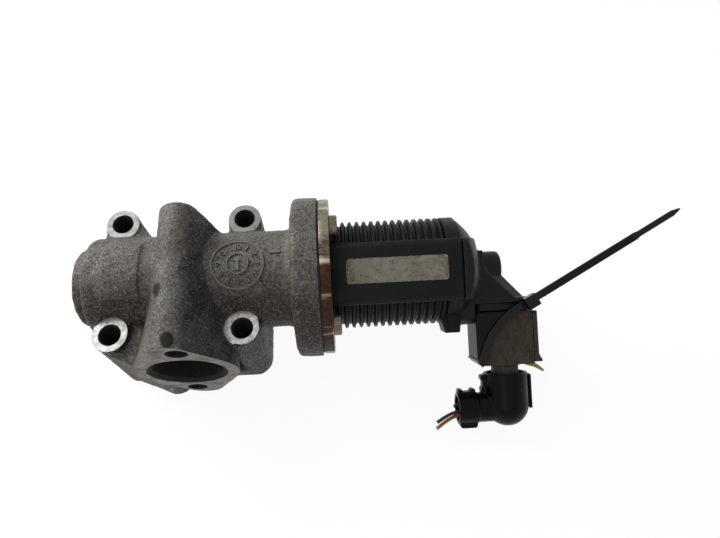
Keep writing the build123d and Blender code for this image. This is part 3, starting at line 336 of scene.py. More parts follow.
def shaded(piece, angle=35.0):
    """Smooth shading with sharp edges over an angle in degrees."""
    shape = bmesh.new()
    shape.from_mesh(piece.data)
    for face in shape.faces:
        face.smooth = True
    for edge in shape.edges:
        edge.smooth = edge.calc_face_angle(0.0) < radians(angle)
    shape.to_mesh(piece.data)
    shape.free()
    return piece


def dressed(piece, body, materials, replaces=(), angle=35.0):
    """The last step of a piece: shading, finish, body and the CAD nodes that it stands for."""
    shaded(piece, angle)
    if not any(piece.data.materials):
        piece.data.materials.clear()
        for material in materials:
            piece.data.materials.append(material)
    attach(piece, body)
    if replaces:
        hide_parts(*replaces)
    return piece


# ---------------------------------------------------------------- material helpers
class Finish:
    """A procedural material under construction. Its coordinates are object space in millimetres."""

    def __init__(self, name, color, roughness, metallic=0.0, **sockets):
        self.material = bpy.data.materials.new(name)
        self.material.use_nodes = True
        self.tree = self.material.node_tree
        self.shader = self.tree.nodes["Principled BSDF"]
        self.shader.inputs["Base Color"].default_value = (*color, 1.0)
        self.shader.inputs["Roughness"].default_value = roughness
        self.shader.inputs["Metallic"].default_value = metallic
        for socket, value in sockets.items():
            self.shader.inputs[socket.replace("_", " ")].default_value = value
        place = self.tree.nodes.new("ShaderNodeTexCoord")
        self.coords = self.put("ShaderNodeVectorMath", {"operation": "SCALE"}, Vector=place.outputs["Object"])
        self.coords.node.inputs["Scale"].default_value = 1 / MM

    def put(self, kind, settings=None, **inputs):
        """Add a node and give its first output. An input is a socket to link or a value."""
        node = self.tree.nodes.new(kind)
        for setting, value in (settings or {}).items():
            setattr(node, setting, value)
        for name, value in inputs.items():
            socket = node.inputs[int(name[1:])] if name[0] == "_" else node.inputs[name.replace("_", " ")]
            self.feed(socket, value)
        return node.outputs[0]

    def feed(self, socket, value):
        """Link an output to a socket, or set the socket's value."""
        if isinstance(value, bpy.types.NodeSocket):
            self.tree.links.new(value, socket)
        elif socket.type == "RGBA":
            socket.default_value = (*value, 1.0) if len(value) == 3 else value
        else:
            socket.default_value = value

    def stretched(self, scale, turn=(0, 0, 0)):
        """Coordinates scaled and turned, for a pattern with a direction."""
        return self.put("ShaderNodeMapping", Vector=self.coords, Scale=scale, Rotation=turn)

    def noise(self, size, detail=4.0, rough=0.6, coords=None, seed=0.0):
        """Noise from 0 to 1 whose features are about so many millimetres across."""
        return self.put(
            "ShaderNodeTexNoise",
            {"noise_dimensions": "4D"},
            Vector=coords or self.coords,
            W=seed,
            Scale=1 / size,
            Detail=detail,
            Roughness=rough,
        )

    def ramp(self, value, low, high, start=0.0, end=1.0):
        """A value mapped from low..high to start..end and held there."""
        return self.put("ShaderNodeMapRange", _0=value, _1=low, _2=high, _3=start, _4=end)

    def math(self, operation, first, second=0.5):
        """One sum of two values."""
        return self.put("ShaderNodeMath", {"operation": operation}, _0=first, _1=second)

    def part(self, value, share):
        """A share of a value."""
        return self.math("MULTIPLY", value, share)

    def measure(self, operation, *vectors):
        """A length, a distance or a dot product of vectors."""
        inputs = {f"_{index}": vector for index, vector in enumerate(vectors)}
        return self.put("ShaderNodeVectorMath", {"operation": operation}, **inputs).node.outputs["Value"]

    def mixed(self, share, first, second):
        """Mix two colours by a share from 0 to 1."""
        node = self.tree.nodes.new("ShaderNodeMix")
        node.data_type = "RGBA"
        self.feed(node.inputs[0], share)
        self.feed(node.inputs[6], first)
        self.feed(node.inputs[7], second)
        return node.outputs[2]

    def near(self, spot, radius, blur):
        """1 within a radius of a spot given in millimetres, falling to 0 over the blur."""
        return self.ramp(self.measure("DISTANCE", self.coords, spot), radius, radius + blur, 1.0, 0.0)

    def along(self, direction):
        """Distance along a direction, in millimetres."""
        return self.measure("DOT_PRODUCT", self.coords, direction)

    def facing(self, direction):
        """How far the surface faces a fixed direction, from -1 to 1."""
        normal = self.tree.nodes.new("ShaderNodeNewGeometry").outputs["Normal"]
        return self.measure("DOT_PRODUCT", normal, direction)

    def relief(self, *layers):
        """Bump from (height socket, millimetres) layers, one over another."""
        normal = None
        for height, depth in layers:
            node = self.tree.nodes.new("ShaderNodeBump")
            node.inputs["Strength"].default_value = 1.0
            node.inputs["Distance"].default_value = depth * MM
            self.tree.links.new(height, node.inputs["Height"])
            if normal:
                self.tree.links.new(normal, node.inputs["Normal"])
            normal = node.outputs["Normal"]
        self.tree.links.new(normal, self.shader.inputs["Normal"])

    def set(self, **sockets):
        """Feed sockets of the shader."""
        for name, value in sockets.items():
            self.feed(self.shader.inputs[name.replace("_", " ")], value)


ALONG_X, ALONG_Y = (1.0, 0.0, 0.0), (0.0, 1.0, 0.0)
ARM_Z = tuple((ARM.to_3x3() @ Vector((0, 0, 1))).normalized())


def shade_of(color, share):
    """A colour made darker or lighter."""
    return tuple(min(1.0, channel * share) for channel in color)


# ---------------------------------------------------------------- finishes
def cast_metal(settings):
    """Weathered sand-cast aluminium: salt-and-pepper grain, grime in hollows, a brown film, and painted shade
    below and on faces turned to the plate.
    """
    f = Finish("cast_aluminium", settings.light, 0.55, metallic=0.15, Specular_IOR_Level=0.3)
    grey, dark, brown = tuple(settings.light), tuple(settings.dark), tuple(settings.brown)
    cloud = f.ramp(f.noise(11.0, 3.0, 0.55), 0.38, 0.66)
    skin = f.mixed(cloud, grey, f.mixed(0.5, grey, brown))
    # brown film on faces turned to the inlet, strengthened as painted shade where they turn down; painted
    # shade, dark as soot, lower down; painted shade on faces turned to the plate
    for direction, size, detail, seed, reach, color in (
        ((0.0, -0.9, -0.42), 7.0, 2.0, 3.0, (0.35, 1.0), brown),
        ((0.0, -0.62, -0.78), 9.0, 2.0, 7.0, (0.7, 1.2), dark),
        ((0.93, -0.3, 0.1), 6.0, 3.0, 8.0, (1.04, 1.5, 0.0, 0.9), shade_of(dark, 1.1)),
    ):
        side = f.math("ADD", f.facing(direction), f.noise(size, detail, 0.5, seed=seed))
        skin = f.mixed(f.ramp(side, *reach), skin, color)
    grain = f.noise(1.0, 3.0, 0.75, seed=1.0)
    skin = f.mixed(f.ramp(grain, 0.54, 0.70), skin, shade_of(grey, 2.1))
    skin = f.mixed(f.part(f.ramp(grain, 0.47, 0.36), 0.85), skin, shade_of(dark, 0.9))
    pits = f.noise(2.3, 2.0, 0.6, seed=5.0)
    skin = f.mixed(f.part(f.ramp(pits, 0.36, 0.28), 0.8), skin, shade_of(dark, 0.7))
    pointed = f.tree.nodes.new("ShaderNodeNewGeometry").outputs["Pointiness"]
    hollow = f.ramp(pointed, 0.49, 0.42)
    skin = f.mixed(f.part(hollow, 0.8), skin, shade_of(dark, 0.8))
    edge = f.ramp(pointed, 0.53, 0.60)
    skin = f.mixed(f.part(edge, 0.5), skin, shade_of(grey, 1.8))
    for spot, radius in zip(SPOTS, SPOT_RADII):
        skin = f.mixed(f.near(spot, radius, 0.9), skin, shade_of(dark, 0.3))
    f.set(Base_Color=skin, Roughness=f.ramp(grain, 0.3, 0.7, 0.72, 0.42))
    f.relief((f.noise(2.6, 3.0, 0.6, seed=2.0), 0.22), (grain, 0.16))
    return f.material


def machined_metal(settings):
    """Freshly cut aluminium with turning marks and stained patches."""
    f = Finish("machined_aluminium", settings.machined, 0.4, metallic=0.7)
    # painted highlight: the two front bosses are made brighter, standing in for the lamp's glints on their
    # spot faces
    dull = tuple(settings.machined)
    front_glint = f.mixed(f.ramp(f.along(ALONG_Y), -12.0, -20.0), dull, shade_of(dull, 2.6))
    stain = f.ramp(f.noise(3.2, 4.0, 0.65), 0.42, 0.68)
    scratch = f.noise(0.5, 2.0, 0.5, f.stretched((1.0, 1.0, 0.2)))
    skin = f.mixed(f.part(stain, 0.8), front_glint, shade_of(dull, 0.5))
    skin = f.mixed(f.ramp(scratch, 0.5, 0.7, 0.0, 0.5), skin, shade_of(dull, 1.8))
    f.set(Base_Color=skin, Roughness=f.ramp(stain, 0.0, 1.0, 0.36, 0.6))
    f.relief((scratch, 0.05))
    return f.material


def port_metal(settings):
    """Milled face of the inlet flange, dulled brown by exhaust."""
    f = Finish("milled_flange_face", settings.brown, 0.45, metallic=0.5)
    tan_metal = shade_of(tuple(settings.light), 1.1)
    stain = f.ramp(f.noise(5.0, 5.0, 0.65), 0.35, 0.65)
    skin = f.mixed(stain, tan_metal, shade_of(tuple(settings.brown), 1.6))
    grain = f.noise(0.8, 3.0, 0.7)
    skin = f.mixed(f.ramp(grain, 0.42, 0.32, 0.0, 0.7), skin, tuple(settings.dark))
    f.set(Base_Color=skin, Roughness=f.ramp(stain, 0.0, 1.0, 0.4, 0.6))
    f.relief((f.noise(0.35, 2.0, 0.5, f.stretched((0.15, 1.0, 1.0))), 0.05))
    return f.material


def soot_metal():
    """Bore walls under dry soot."""
    f = Finish("sooty_bore", (0.006, 0.0055, 0.005), 0.9)
    crust = f.noise(1.6, 5.0, 0.7)
    f.set(Base_Color=f.mixed(f.ramp(crust, 0.4, 0.7), (0.004, 0.004, 0.004), (0.02, 0.017, 0.014)))
    f.relief((crust, 0.25))
    return f.material


def plate_steel(settings):
    """Zinc-plated steel whose yellow passivation has worn through to red rust."""
    f = Finish("plated_steel", settings.plate, 0.4, metallic=0.75)
    plate, rust = tuple(settings.plate), tuple(settings.rust)
    patches = f.noise(6.0, 4.0, 0.65, f.stretched((0.35, 1.0, 1.0)))
    fine = f.noise(1.6, 4.0, 0.7, seed=2.0)
    ragged = f.math("ADD", f.part(patches, 1.1), f.part(fine, 0.6))
    low = f.ramp(f.math("ADD", f.facing((0.0, -0.95, 0.3)), ragged), 1.05, 1.4)
    # painted light: faces turned up, towards the key lamp, keep the full plating colour and the rest are
    # darkened
    high = f.ramp(f.facing((0.0, 0.75, 0.6)), 0.1, 0.8)
    painted_lit_plate = f.mixed(high, shade_of(plate, 0.85), plate)
    skin = f.mixed(f.ramp(patches, 0.42, 0.64), painted_lit_plate, shade_of(plate, 0.55))
    skin = f.mixed(f.ramp(fine, 0.56, 0.66, 0.0, 0.7), skin, shade_of(rust, 0.5))
    skin = f.mixed(low, skin, f.mixed(f.ramp(fine, 0.4, 0.6), rust, shade_of(rust, 0.45)))
    # painted shade: faces turned down are darkened to a dark brown
    bottom = f.ramp(f.math("ADD", f.facing((0.0, -0.7, -0.7)), f.part(patches, 0.6)), 0.75, 1.0)
    skin = f.mixed(bottom, skin, (0.045, 0.038, 0.028))
    glint = f.ramp(f.noise(5.2, 2.0, 0.4, f.stretched((0.1, 1.0, 1.0)), seed=9.0), 0.59, 0.66)
    skin = f.mixed(glint, skin, shade_of(plate, 2.4))
    speck = f.noise(0.9, 3.0, 0.7, seed=4.0)
    skin = f.mixed(f.ramp(speck, 0.42, 0.32, 0.0, 0.85), skin, shade_of(rust, 0.25))
    f.set(Base_Color=skin, Roughness=f.ramp(low, 0.0, 1.0, 0.34, 0.62))
    f.relief((speck, 0.08), (f.noise(0.5, 2.0, 0.5, f.stretched((0.1, 1.0, 1.0))), 0.03))
    return f.material


def plain_steel(name, color, roughness, grain=1.0, rust=0.0):
    """Turned or drawn steel with fine lines across it and a little staining."""
    f = Finish(name, color, roughness, metallic=0.9)
    lines = f.noise(0.25, 2.0, 0.5, f.stretched((1.0, 0.1, 0.1)))
    stain = f.ramp(f.noise(2.5 * grain, 4.0, 0.6), 0.45, 0.72)
    skin = f.mixed(stain, color, shade_of(color, 0.55))
    if rust:
        bloom = f.ramp(f.noise(1.4, 4.0, 0.7, seed=2.0), 0.5, 0.62)
        skin = f.mixed(f.part(bloom, rust), skin, (0.09, 0.035, 0.015))
    f.set(Base_Color=skin, Roughness=f.ramp(stain, 0.0, 1.0, roughness, roughness + 0.25))
    f.relief((lines, 0.02), (stain, 0.02))
    return f.material


def black_plastic(name, settings, gloss=0.42, dust=0.35, shine=0.2):
    """Glass-filled black moulding with patchy roughness, specks, scuffs and some dust."""
    color = tuple(settings.plastic)
    f = Finish(name, color, gloss, Specular_IOR_Level=shine)
    haze = f.noise(6.0, 4.0, 0.6)
    speck = f.noise(0.7, 3.0, 0.7, seed=3.0)
    scuff = f.noise(1.2, 4.0, 0.7, f.stretched((0.15, 1.0, 1.0)), seed=5.0)
    film = f.part(f.ramp(haze, 0.45, 0.75), dust)
    skin = f.mixed(film, color, tuple(settings.dust))
    skin = f.mixed(f.ramp(speck, 0.66, 0.74, 0.0, dust), skin, shade_of(tuple(settings.dust), 1.6))
    skin = f.mixed(f.ramp(scuff, 0.66, 0.76, 0.0, 0.35 * dust), skin, shade_of(tuple(settings.dust), 2.0))
    f.set(Base_Color=skin, Roughness=f.ramp(haze, 0.3, 0.75, gloss - 0.06, gloss + 0.2))
    f.relief((f.noise(0.35, 3.0, 0.6, seed=1.0), 0.03), (scuff, 0.02))
    return f.material


def label_film(settings):
    """Cream film, rubbed, yellowed and flecked, with grime at its ends."""
    f = Finish("label_film", settings.label, 0.5)
    cream = tuple(settings.label)
    stain = f.ramp(f.noise(5.0, 5.0, 0.65), 0.42, 0.7)
    skin = f.mixed(f.part(stain, 0.65), cream, shade_of(cream, 0.45))
    fleck = f.noise(1.0, 4.0, 0.7, seed=2.0)
    skin = f.mixed(f.ramp(fleck, 0.58, 0.64, 0.0, 0.8), skin, (0.06, 0.042, 0.025))
    rubbed = f.noise(1.6, 4.0, 0.7, f.stretched((0.4, 1.0, 1.0)), seed=6.0)
    skin = f.mixed(f.ramp(rubbed, 0.54, 0.64, 0.0, 0.6), skin, (0.09, 0.065, 0.042))
    ends = f.ramp(f.math("ABSOLUTE", f.math("SUBTRACT", f.along(ALONG_X), LABEL_MID_X)), 15.0, 21.5)
    grime = f.part(ends, f.ramp(f.noise(1.7, 4.0, 0.7, seed=8.0), 0.45, 0.6))
    skin = f.mixed(f.part(grime, 0.85), skin, (0.06, 0.04, 0.022))
    f.set(Base_Color=skin, Roughness=f.ramp(stain, 0.0, 1.0, 0.42, 0.65))
    f.relief((f.noise(2.0, 3.0, 0.6), 0.04))
    return f.material


def plug_plastic(settings):
    """Dark grey plug whose front is caked in brown dust on one side of the cable tie and stays dark on the
    other.
    """
    f = Finish("dusty_plug_plastic", settings.plastic, 0.6, Specular_IOR_Level=0.15)
    dust, black = tuple(settings.plug_dust), tuple(settings.plastic)
    streaks = f.noise(2.4, 5.0, 0.65, f.stretched((1.0, 0.45, 0.45)))
    dirty = f.mixed(f.ramp(streaks, 0.35, 0.65), shade_of(dust, 0.62), shade_of(dust, 1.25))
    speck = f.noise(0.5, 3.0, 0.7, seed=3.0)
    dirty = f.mixed(f.ramp(speck, 0.6, 0.7, 0.0, 0.5), dirty, shade_of(dust, 1.8))
    dirty = f.mixed(f.ramp(speck, 0.42, 0.34, 0.0, 0.5), dirty, black)
    # the dark side lies up and to the left of the tie
    middle = ARM @ Vector((*TIE_MIDDLE, 0.0)) / MM
    flat = f.put("ShaderNodeVectorMath", {"operation": "SUBTRACT"}, _0=f.coords, _1=tuple(middle))
    flat = f.put("ShaderNodeVectorMath", {"operation": "CROSS_PRODUCT"}, _0=flat, _1=ARM_Z)
    ragged = f.math("ADD", f.measure("LENGTH", flat), f.part(f.noise(2.5, 3.0, 0.6, seed=6.0), 1.6))
    caked = f.ramp(ragged, TIE_ARC_R - 1.4, TIE_ARC_R + 0.4, 1.0, 0.0)
    front = f.ramp(f.facing(ARM_Z), -0.2, 0.55)
    side = f.ramp(f.facing(ALONG_X), 0.2, 0.8, 0.0, 0.75)
    cover = f.math("MAXIMUM", f.part(caked, front), side)
    f.set(
        Base_Color=f.mixed(cover, shade_of(black, 1.1), dirty),
        Roughness=f.ramp(cover, 0.0, 1.0, 0.42, 0.85),
    )
    f.relief((streaks, 0.08), (speck, 0.05))
    return f.material


def insulation(name, color, roughness=0.42):
    """Thin PVC insulation, slightly scuffed."""
    f = Finish(name, color, roughness)
    dirt = f.noise(1.1, 4.0, 0.65)
    skin = f.mixed(f.ramp(dirt, 0.45, 0.7, 0.0, 0.6), tuple(color), shade_of(tuple(color), 0.45))
    f.set(Base_Color=skin, Roughness=f.ramp(dirt, 0.3, 0.7, roughness, roughness + 0.25))
    f.relief((f.noise(0.5, 3.0, 0.6), 0.03))
    return f.material


def nylon(settings):
    """Glossy black nylon of the cable tie."""
    f = Finish("black_nylon", settings.plastic, 0.22, Specular_IOR_Level=0.25)
    haze = f.noise(2.2, 4.0, 0.65)
    color = tuple(settings.plastic)
    f.set(
        Base_Color=f.mixed(f.ramp(haze, 0.5, 0.75), shade_of(color, 0.9), shade_of(color, 1.8)),
        Roughness=f.ramp(haze, 0.35, 0.7, 0.16, 0.42),
    )
    f.relief((f.noise(0.9, 3.0, 0.6, seed=2.0), 0.04))
    return f.material


def soft_part(name, color, roughness, size=1.2, depth=0.05):
    """Rubber, fibre or moulded nylon with a plain mottled surface."""
    f = Finish(name, color, roughness)
    mottle = f.noise(size, 4.0, 0.65)
    f.set(
        Base_Color=f.mixed(f.ramp(mottle, 0.35, 0.7), shade_of(color, 0.7), shade_of(color, 1.25)),
        Roughness=f.ramp(mottle, 0.3, 0.7, roughness - 0.08, roughness + 0.12),
    )
    f.relief((mottle, depth))
    return f.material


def wound_copper():
    """Enamelled copper winding, with its turns as fine ridges."""
    f = Finish("enamelled_copper", (0.42, 0.13, 0.05), 0.3, metallic=0.9)
    turns = f.put("ShaderNodeTexWave", {"bands_direction": "X"}, Vector=f.coords, Scale=0.75, Distortion=0.0)
    f.set(Base_Color=f.mixed(f.ramp(turns, 0.0, 1.0), (0.16, 0.045, 0.02), (0.5, 0.17, 0.07)))
    f.relief((turns, 0.15))
    return f.material


# ---------------------------------------------------------------- sizes and colours to change
def color_prop(name, description, default):
    """A colour that the sidebar shows as a swatch."""
    return FloatVectorProperty(
        name=name, description=description, default=default, size=3, min=0.0, max=1.0, subtype="COLOR"
    )


def size_prop(name, description, default):
    """A length in metres, given by its default in millimetres."""
    return FloatProperty(name=name, description=description, default=default * MM, min=0.0, unit="LENGTH")


def power_prop(name, description, default):
    """The power of a lamp."""
    return FloatProperty(name=name, description=description, default=default, min=0.0, unit="POWER")


class CastingSettings(PropertyGroup):
    """Finish of the casting, the plate and its screws."""

    voxel: size_prop("Cell size", "Cell size of the casting's rebuilt skin", 0.8)
    skin: size_prop("Skin relief", "Height of the casting's uneven skin", 0.16)
    light: color_prop("Bare metal", "Clean cast aluminium", (0.182, 0.173, 0.152))
    # grime in hollows, and also the colour of the painted shade underneath and on faces turned to the plate
    dark: color_prop("Grime", "Grime in hollows and underneath", (0.020, 0.018, 0.015))
    # brown film, strengthened on the lower half as painted shade
    brown: color_prop("Brown film", "Baked film on the lower half", (0.060, 0.040, 0.032))
    machined: color_prop("Machined metal", "Turned and milled faces", (0.27, 0.268, 0.26))
    plate: color_prop("Plating", "Plated steel of the plate", (0.30, 0.27, 0.19))
    rust: color_prop("Rust", "Rust on the plate", (0.075, 0.030, 0.018))


class SolenoidSettings(PropertyGroup):
    """Ribs, plastic and label of the solenoid."""

    rib_count: IntProperty(name="Ribs", description="Cooling ribs round the shell", default=15, min=1)
    rib_pitch: size_prop("Rib pitch", "Distance between ribs", 3.28)
    rib_first: size_prop("First rib", "First rib from the plate", 2.55)
    rib_width: size_prop("Rib width", "Width of a rib at its crest", 1.3)
    plastic: color_prop("Plastic", "Black moulded plastic", (0.0064, 0.0072, 0.0084))
    dust: color_prop("Dust", "Dust on the plastic", (0.034, 0.033, 0.031))
    label: color_prop("Label", "Cream label film", (0.38, 0.335, 0.255))


class ConnectorSettings(PropertyGroup):
    """Plug, wires and cable tie."""

    plastic: color_prop("Plastic", "Black of the plug, the elbow and the tie", (0.0040, 0.0042, 0.0050))
    dust: color_prop("Haze", "Haze on the elbow", (0.010, 0.011, 0.013))
    plug_dust: color_prop("Caked dust", "Brown dust on the plug's front", (0.120, 0.095, 0.072))
    green: color_prop("First wire", "Dark green insulation", (0.012, 0.017, 0.015))
    orange: color_prop("Second wire", "Orange insulation", (0.72, 0.23, 0.09))
    tooth_pitch: size_prop("Tooth pitch", "Distance between the tie's teeth", 1.05)


class StageSettings(PropertyGroup):
    """Floor and lamps."""

    floor: color_prop("Floor", "Pale floor", (0.6, 0.6, 0.6))
    key: power_prop("Key lamp", "Power of the lamp at the upper left", 3.6)
    fill: power_prop("Fill lamp", "Power of the lamp at the lower left", 0.5)


# ---------------------------------------------------------------- stage
CAMERA_SPOT = Vector((0.07078, -0.11657, 0.28862))
CAMERA_TILT, CAMERA_PAN, CAMERA_ROLL = 0.4403, -0.0347, -0.0504
# width of the render and focal length, both in pixels
FRAME_W, FOCAL_PX = 720, 599.83
SENSOR_W = 36.0
FLOOR_HALF, FLOOR_T, FLOOR_GAP = 1500.0, 5.0, 0.05
# lamps as (spot, size), and the point that they aim at, in metres
KEY_LAMP = ((-0.42, 0.38, 0.42), 0.45)
FILL_LAMP = ((-0.25, -0.45, 0.75), 0.5)
LAMP_AIM = (0.055, 0.0, 0.03)


def area_lamp(name, spot, size, power):
    """A square soft lamp at a spot, aimed at the valve."""
    light = bpy.data.lights.new(name, "AREA")
    light.shape = "SQUARE"
    light.size = size
    light.energy = power
    lamp = bpy.data.objects.new(name, light)
    lamp.location = spot
    lamp.rotation_euler = (Vector(LAMP_AIM) - Vector(spot)).to_track_quat("-Z", "Y").to_euler()
    bpy.context.scene.collection.objects.link(lamp)


def seen_white(tree, surface, glow):
    """Mix a surface with white for camera, mirror and glass rays."""
    path = tree.nodes.new("ShaderNodeLightPath")
    rays = [path.outputs[f"Is {kind} Ray"] for kind in ("Camera", "Glossy", "Transmission")]
    total = rays[0]
    for ray in rays[1:]:
        add = tree.nodes.new("ShaderNodeMath")
        add.operation = "MAXIMUM"
        tree.links.new(total, add.inputs[0])
        tree.links.new(ray, add.inputs[1])
        total = add.outputs[0]
    mix = tree.nodes.new("ShaderNodeMixShader")
    tree.links.new(total, mix.inputs[0])
    tree.links.new(surface, mix.inputs[1])
    tree.links.new(glow, mix.inputs[2])
    return mix.outputs[0]


def pale_floor(color):
    """White to the camera apart from a faint shadow, and plain pale paint to the light."""
    material = bpy.data.materials.new("pale_floor")
    material.use_nodes = True
    tree = material.node_tree
    paint = tree.nodes["Principled BSDF"]
    paint.inputs["Base Color"].default_value = (*color, 1.0)
    paint.inputs["Roughness"].default_value = 0.9
    paint.inputs["Specular IOR Level"].default_value = 0.0
    glow = tree.nodes.new("ShaderNodeEmission")
    glow.inputs["Strength"].default_value = 0.93
    soft = tree.nodes.new("ShaderNodeBsdfDiffuse")
    soft.inputs["Color"].default_value = (0.16, 0.16, 0.16, 1.0)
    both = tree.nodes.new("ShaderNodeAddShader")
    tree.links.new(glow.outputs[0], both.inputs[0])
    tree.links.new(soft.outputs[0], both.inputs[1])
    output = tree.nodes["Material Output"]
    tree.links.new(seen_white(tree, paint.outputs[0], both.outputs[0]), output.inputs["Surface"])
    return material


class EGR_OT_stage(Operator):
    """Place the camera, the floor, the lamps and the sky"""

    bl_idname = "egr.stage"
    bl_label = "Stage"

    def execute(self, context):
        settings = context.scene.egr_stage
        scene = context.scene
        scene.view_settings.view_transform = "Standard"

        lens = bpy.data.cameras.new("camera")
        lens.sensor_width = SENSOR_W
        lens.lens = FOCAL_PX * SENSOR_W / FRAME_W
        lens.clip_start = 0.01
        camera = bpy.data.objects.new("camera", lens)
        turn = (
            Matrix.Rotation(CAMERA_TILT, 3, "X")
            @ Matrix.Rotation(CAMERA_PAN, 3, "Y")
            @ Matrix.Rotation(CAMERA_ROLL, 3, "Z")
        )
        camera.location = CAMERA_SPOT
        camera.rotation_euler = turn.to_euler()
        scene.collection.objects.link(camera)
        scene.camera = camera

        top, half = CAD_BOX[0][2] / MM - FLOOR_GAP, FLOOR_HALF
        corners = [(-half, -half), (half, -half), (half, half), (-half, half)]
        floor = prism("floor", corners, top - FLOOR_T, top)
        floor.data.materials.append(pale_floor(settings.floor))

        area_lamp("key_lamp", *KEY_LAMP, settings.key)
        area_lamp("fill_lamp", *FILL_LAMP, settings.fill)

        world = bpy.data.worlds.new("sky")
        world.use_nodes = True
        tree = world.node_tree
        sky = tree.nodes["Background"]
        sky.inputs["Color"].default_value = (0.9, 0.95, 1.0, 1.0)
        sky.inputs["Strength"].default_value = 0.2
        white = tree.nodes.new("ShaderNodeBackground")
        white.inputs["Strength"].default_value = 1.0
        output = tree.nodes["World Output"]
        tree.links.new(seen_white(tree, sky.outputs[0], white.outputs[0]), output.inputs["Surface"])
        scene.world = world
        return {"FINISHED"}


# ---------------------------------------------------------------- casting
# dark spots on the passage: a drop of oil with its tail, and a scuff above the inlet
SPOTS = ((-2.4, -17.1, 68.7), (-2.0, -19.6, 68.7), (3.7, -38.4, 70.2), (4.2, -40.2, 70.1))
SPOT_RADII = (1.9, 0.8, 2.1, 1.9)

CHAMBER_R = 14.0
SEAT_X = -14.5
THROAT_R = 11.5
STEM_BORE_R = 3.4
BUSH_X0, BUSH_X1 = 22.0, 44.0
BUSH_BORE_R = 6.5
POCKET_R = 15.0
FLANGE_R = PLATE_R + 0.8
PORT_BORE_L = MOUNTS["inlet_port"]["dims"]["length_mm"]
OUTLET_BORE_L = MOUNTS["outlet_port"]["dims"]["length_mm"]
BOSS_R, BOSS_TOP, SPOT_FACE_R = 7.4, 45.3, 7.9
BARREL_R = 22.0
EAR_R, PORT_PAD_R, PORT_MOUTH_L = 8.5, 22.0, 1.8
# both ports narrow where they bend into the stem bore
PORT_BEND_R, PORT_BEND_L = 13.8, 50.0
OUTLET_BEND_R = 9.4
FOOT_R = 8.0
RIM = 0.6  # chamfer at the ends of a bolt hole
OVER = 1.2  # metal left on a face until it is cut
CLEAR = 3.0  # how far a cut runs outside the metal
PANEL_X0, PANEL_X1 = -30.3, -13.5

# local X of these places runs into the inlet, and up from the mounting face
INTO_PORT = WORLD @ Matrix.Translation((PORT_X, PORT_FACE_Y, STEM_Z)) @ Matrix.Rotation(pi / 2, 4, "Z")


def upright(x, y, z=0.0):
    """Place whose local X runs up at a spot of the mounting face."""
    return WORLD @ Matrix.Translation((x, y, z)) @ Matrix.Rotation(-pi / 2, 4, "Y")


def port_screw_places():
    """Places of the inlet flange's tapped holes, with local X running into them."""
    clock = radians(90.0 + PORT_CLOCK)
    for side in (0.5, -0.5):
        spot = Matrix.Translation((0, side * PORT_PCD * cos(clock), side * PORT_PCD * sin(clock)))
        yield INTO_PORT @ spot


def plate_screw_places():
    """Places of the plate's four screws, with local X running out along them."""
    for turn in SCREW_TURNS:
        yield ARM @ Matrix.Translation((0, SCREW_CIRCLE_R * cos(turn), SCREW_CIRCLE_R * sin(turn)))


def cast_skin(piece, settings):
    """Give a piece the uneven skin of sand-cast metal."""
    height = settings.skin / MM
    return roughened(piece, ((2.4, height), (6.0, 0.9 * height), (16.0, 1.2 * height)))


def fillers():
    """Plugs for the bores' ends and pads over the machined faces, which the cuts bring back to size."""
    yield turned("filler", NOSE_X + 0.8, (CHAMBER_R + 0.5, NOSE_X + 3))
    yield turned("filler", PLATE_FACE_X - 3, (FLANGE_R, PLATE_FACE_X + OVER))
    yield turned("filler", 0.2, (PORT_R + 2.2, 2.5), place=INTO_PORT, steps=48)
    for place in port_screw_places():
        yield turned("filler", 0.2, (4.5, 2.5), place=place, steps=48)
    lean = radians(PORT_CLOCK)
    ears = [
        point
        for side in (0.5, -0.5)
        for point in circle(EAR_R, -side * PORT_PCD * sin(lean), side * PORT_PCD * cos(lean))
    ]
    yield prism("filler", hull(ears + circle(PORT_PAD_R)), -1.5, OVER, PORT)
    for x, y in BOSS_SPOTS:
        yield turned("filler", 30, (BOSS_R, BOSS_TOP + OVER), place=upright(x, y), steps=48)
        yield turned("filler", -OVER, (FOOT_R, 3), place=upright(x, y), steps=48)
    foot = rounded_box(2 * (BOLT_X + FOOT_R), 2 * (BOLT_Y + FOOT_R), FOOT_R - 0.1)
    yield prism("filler", foot, -OVER, 3)


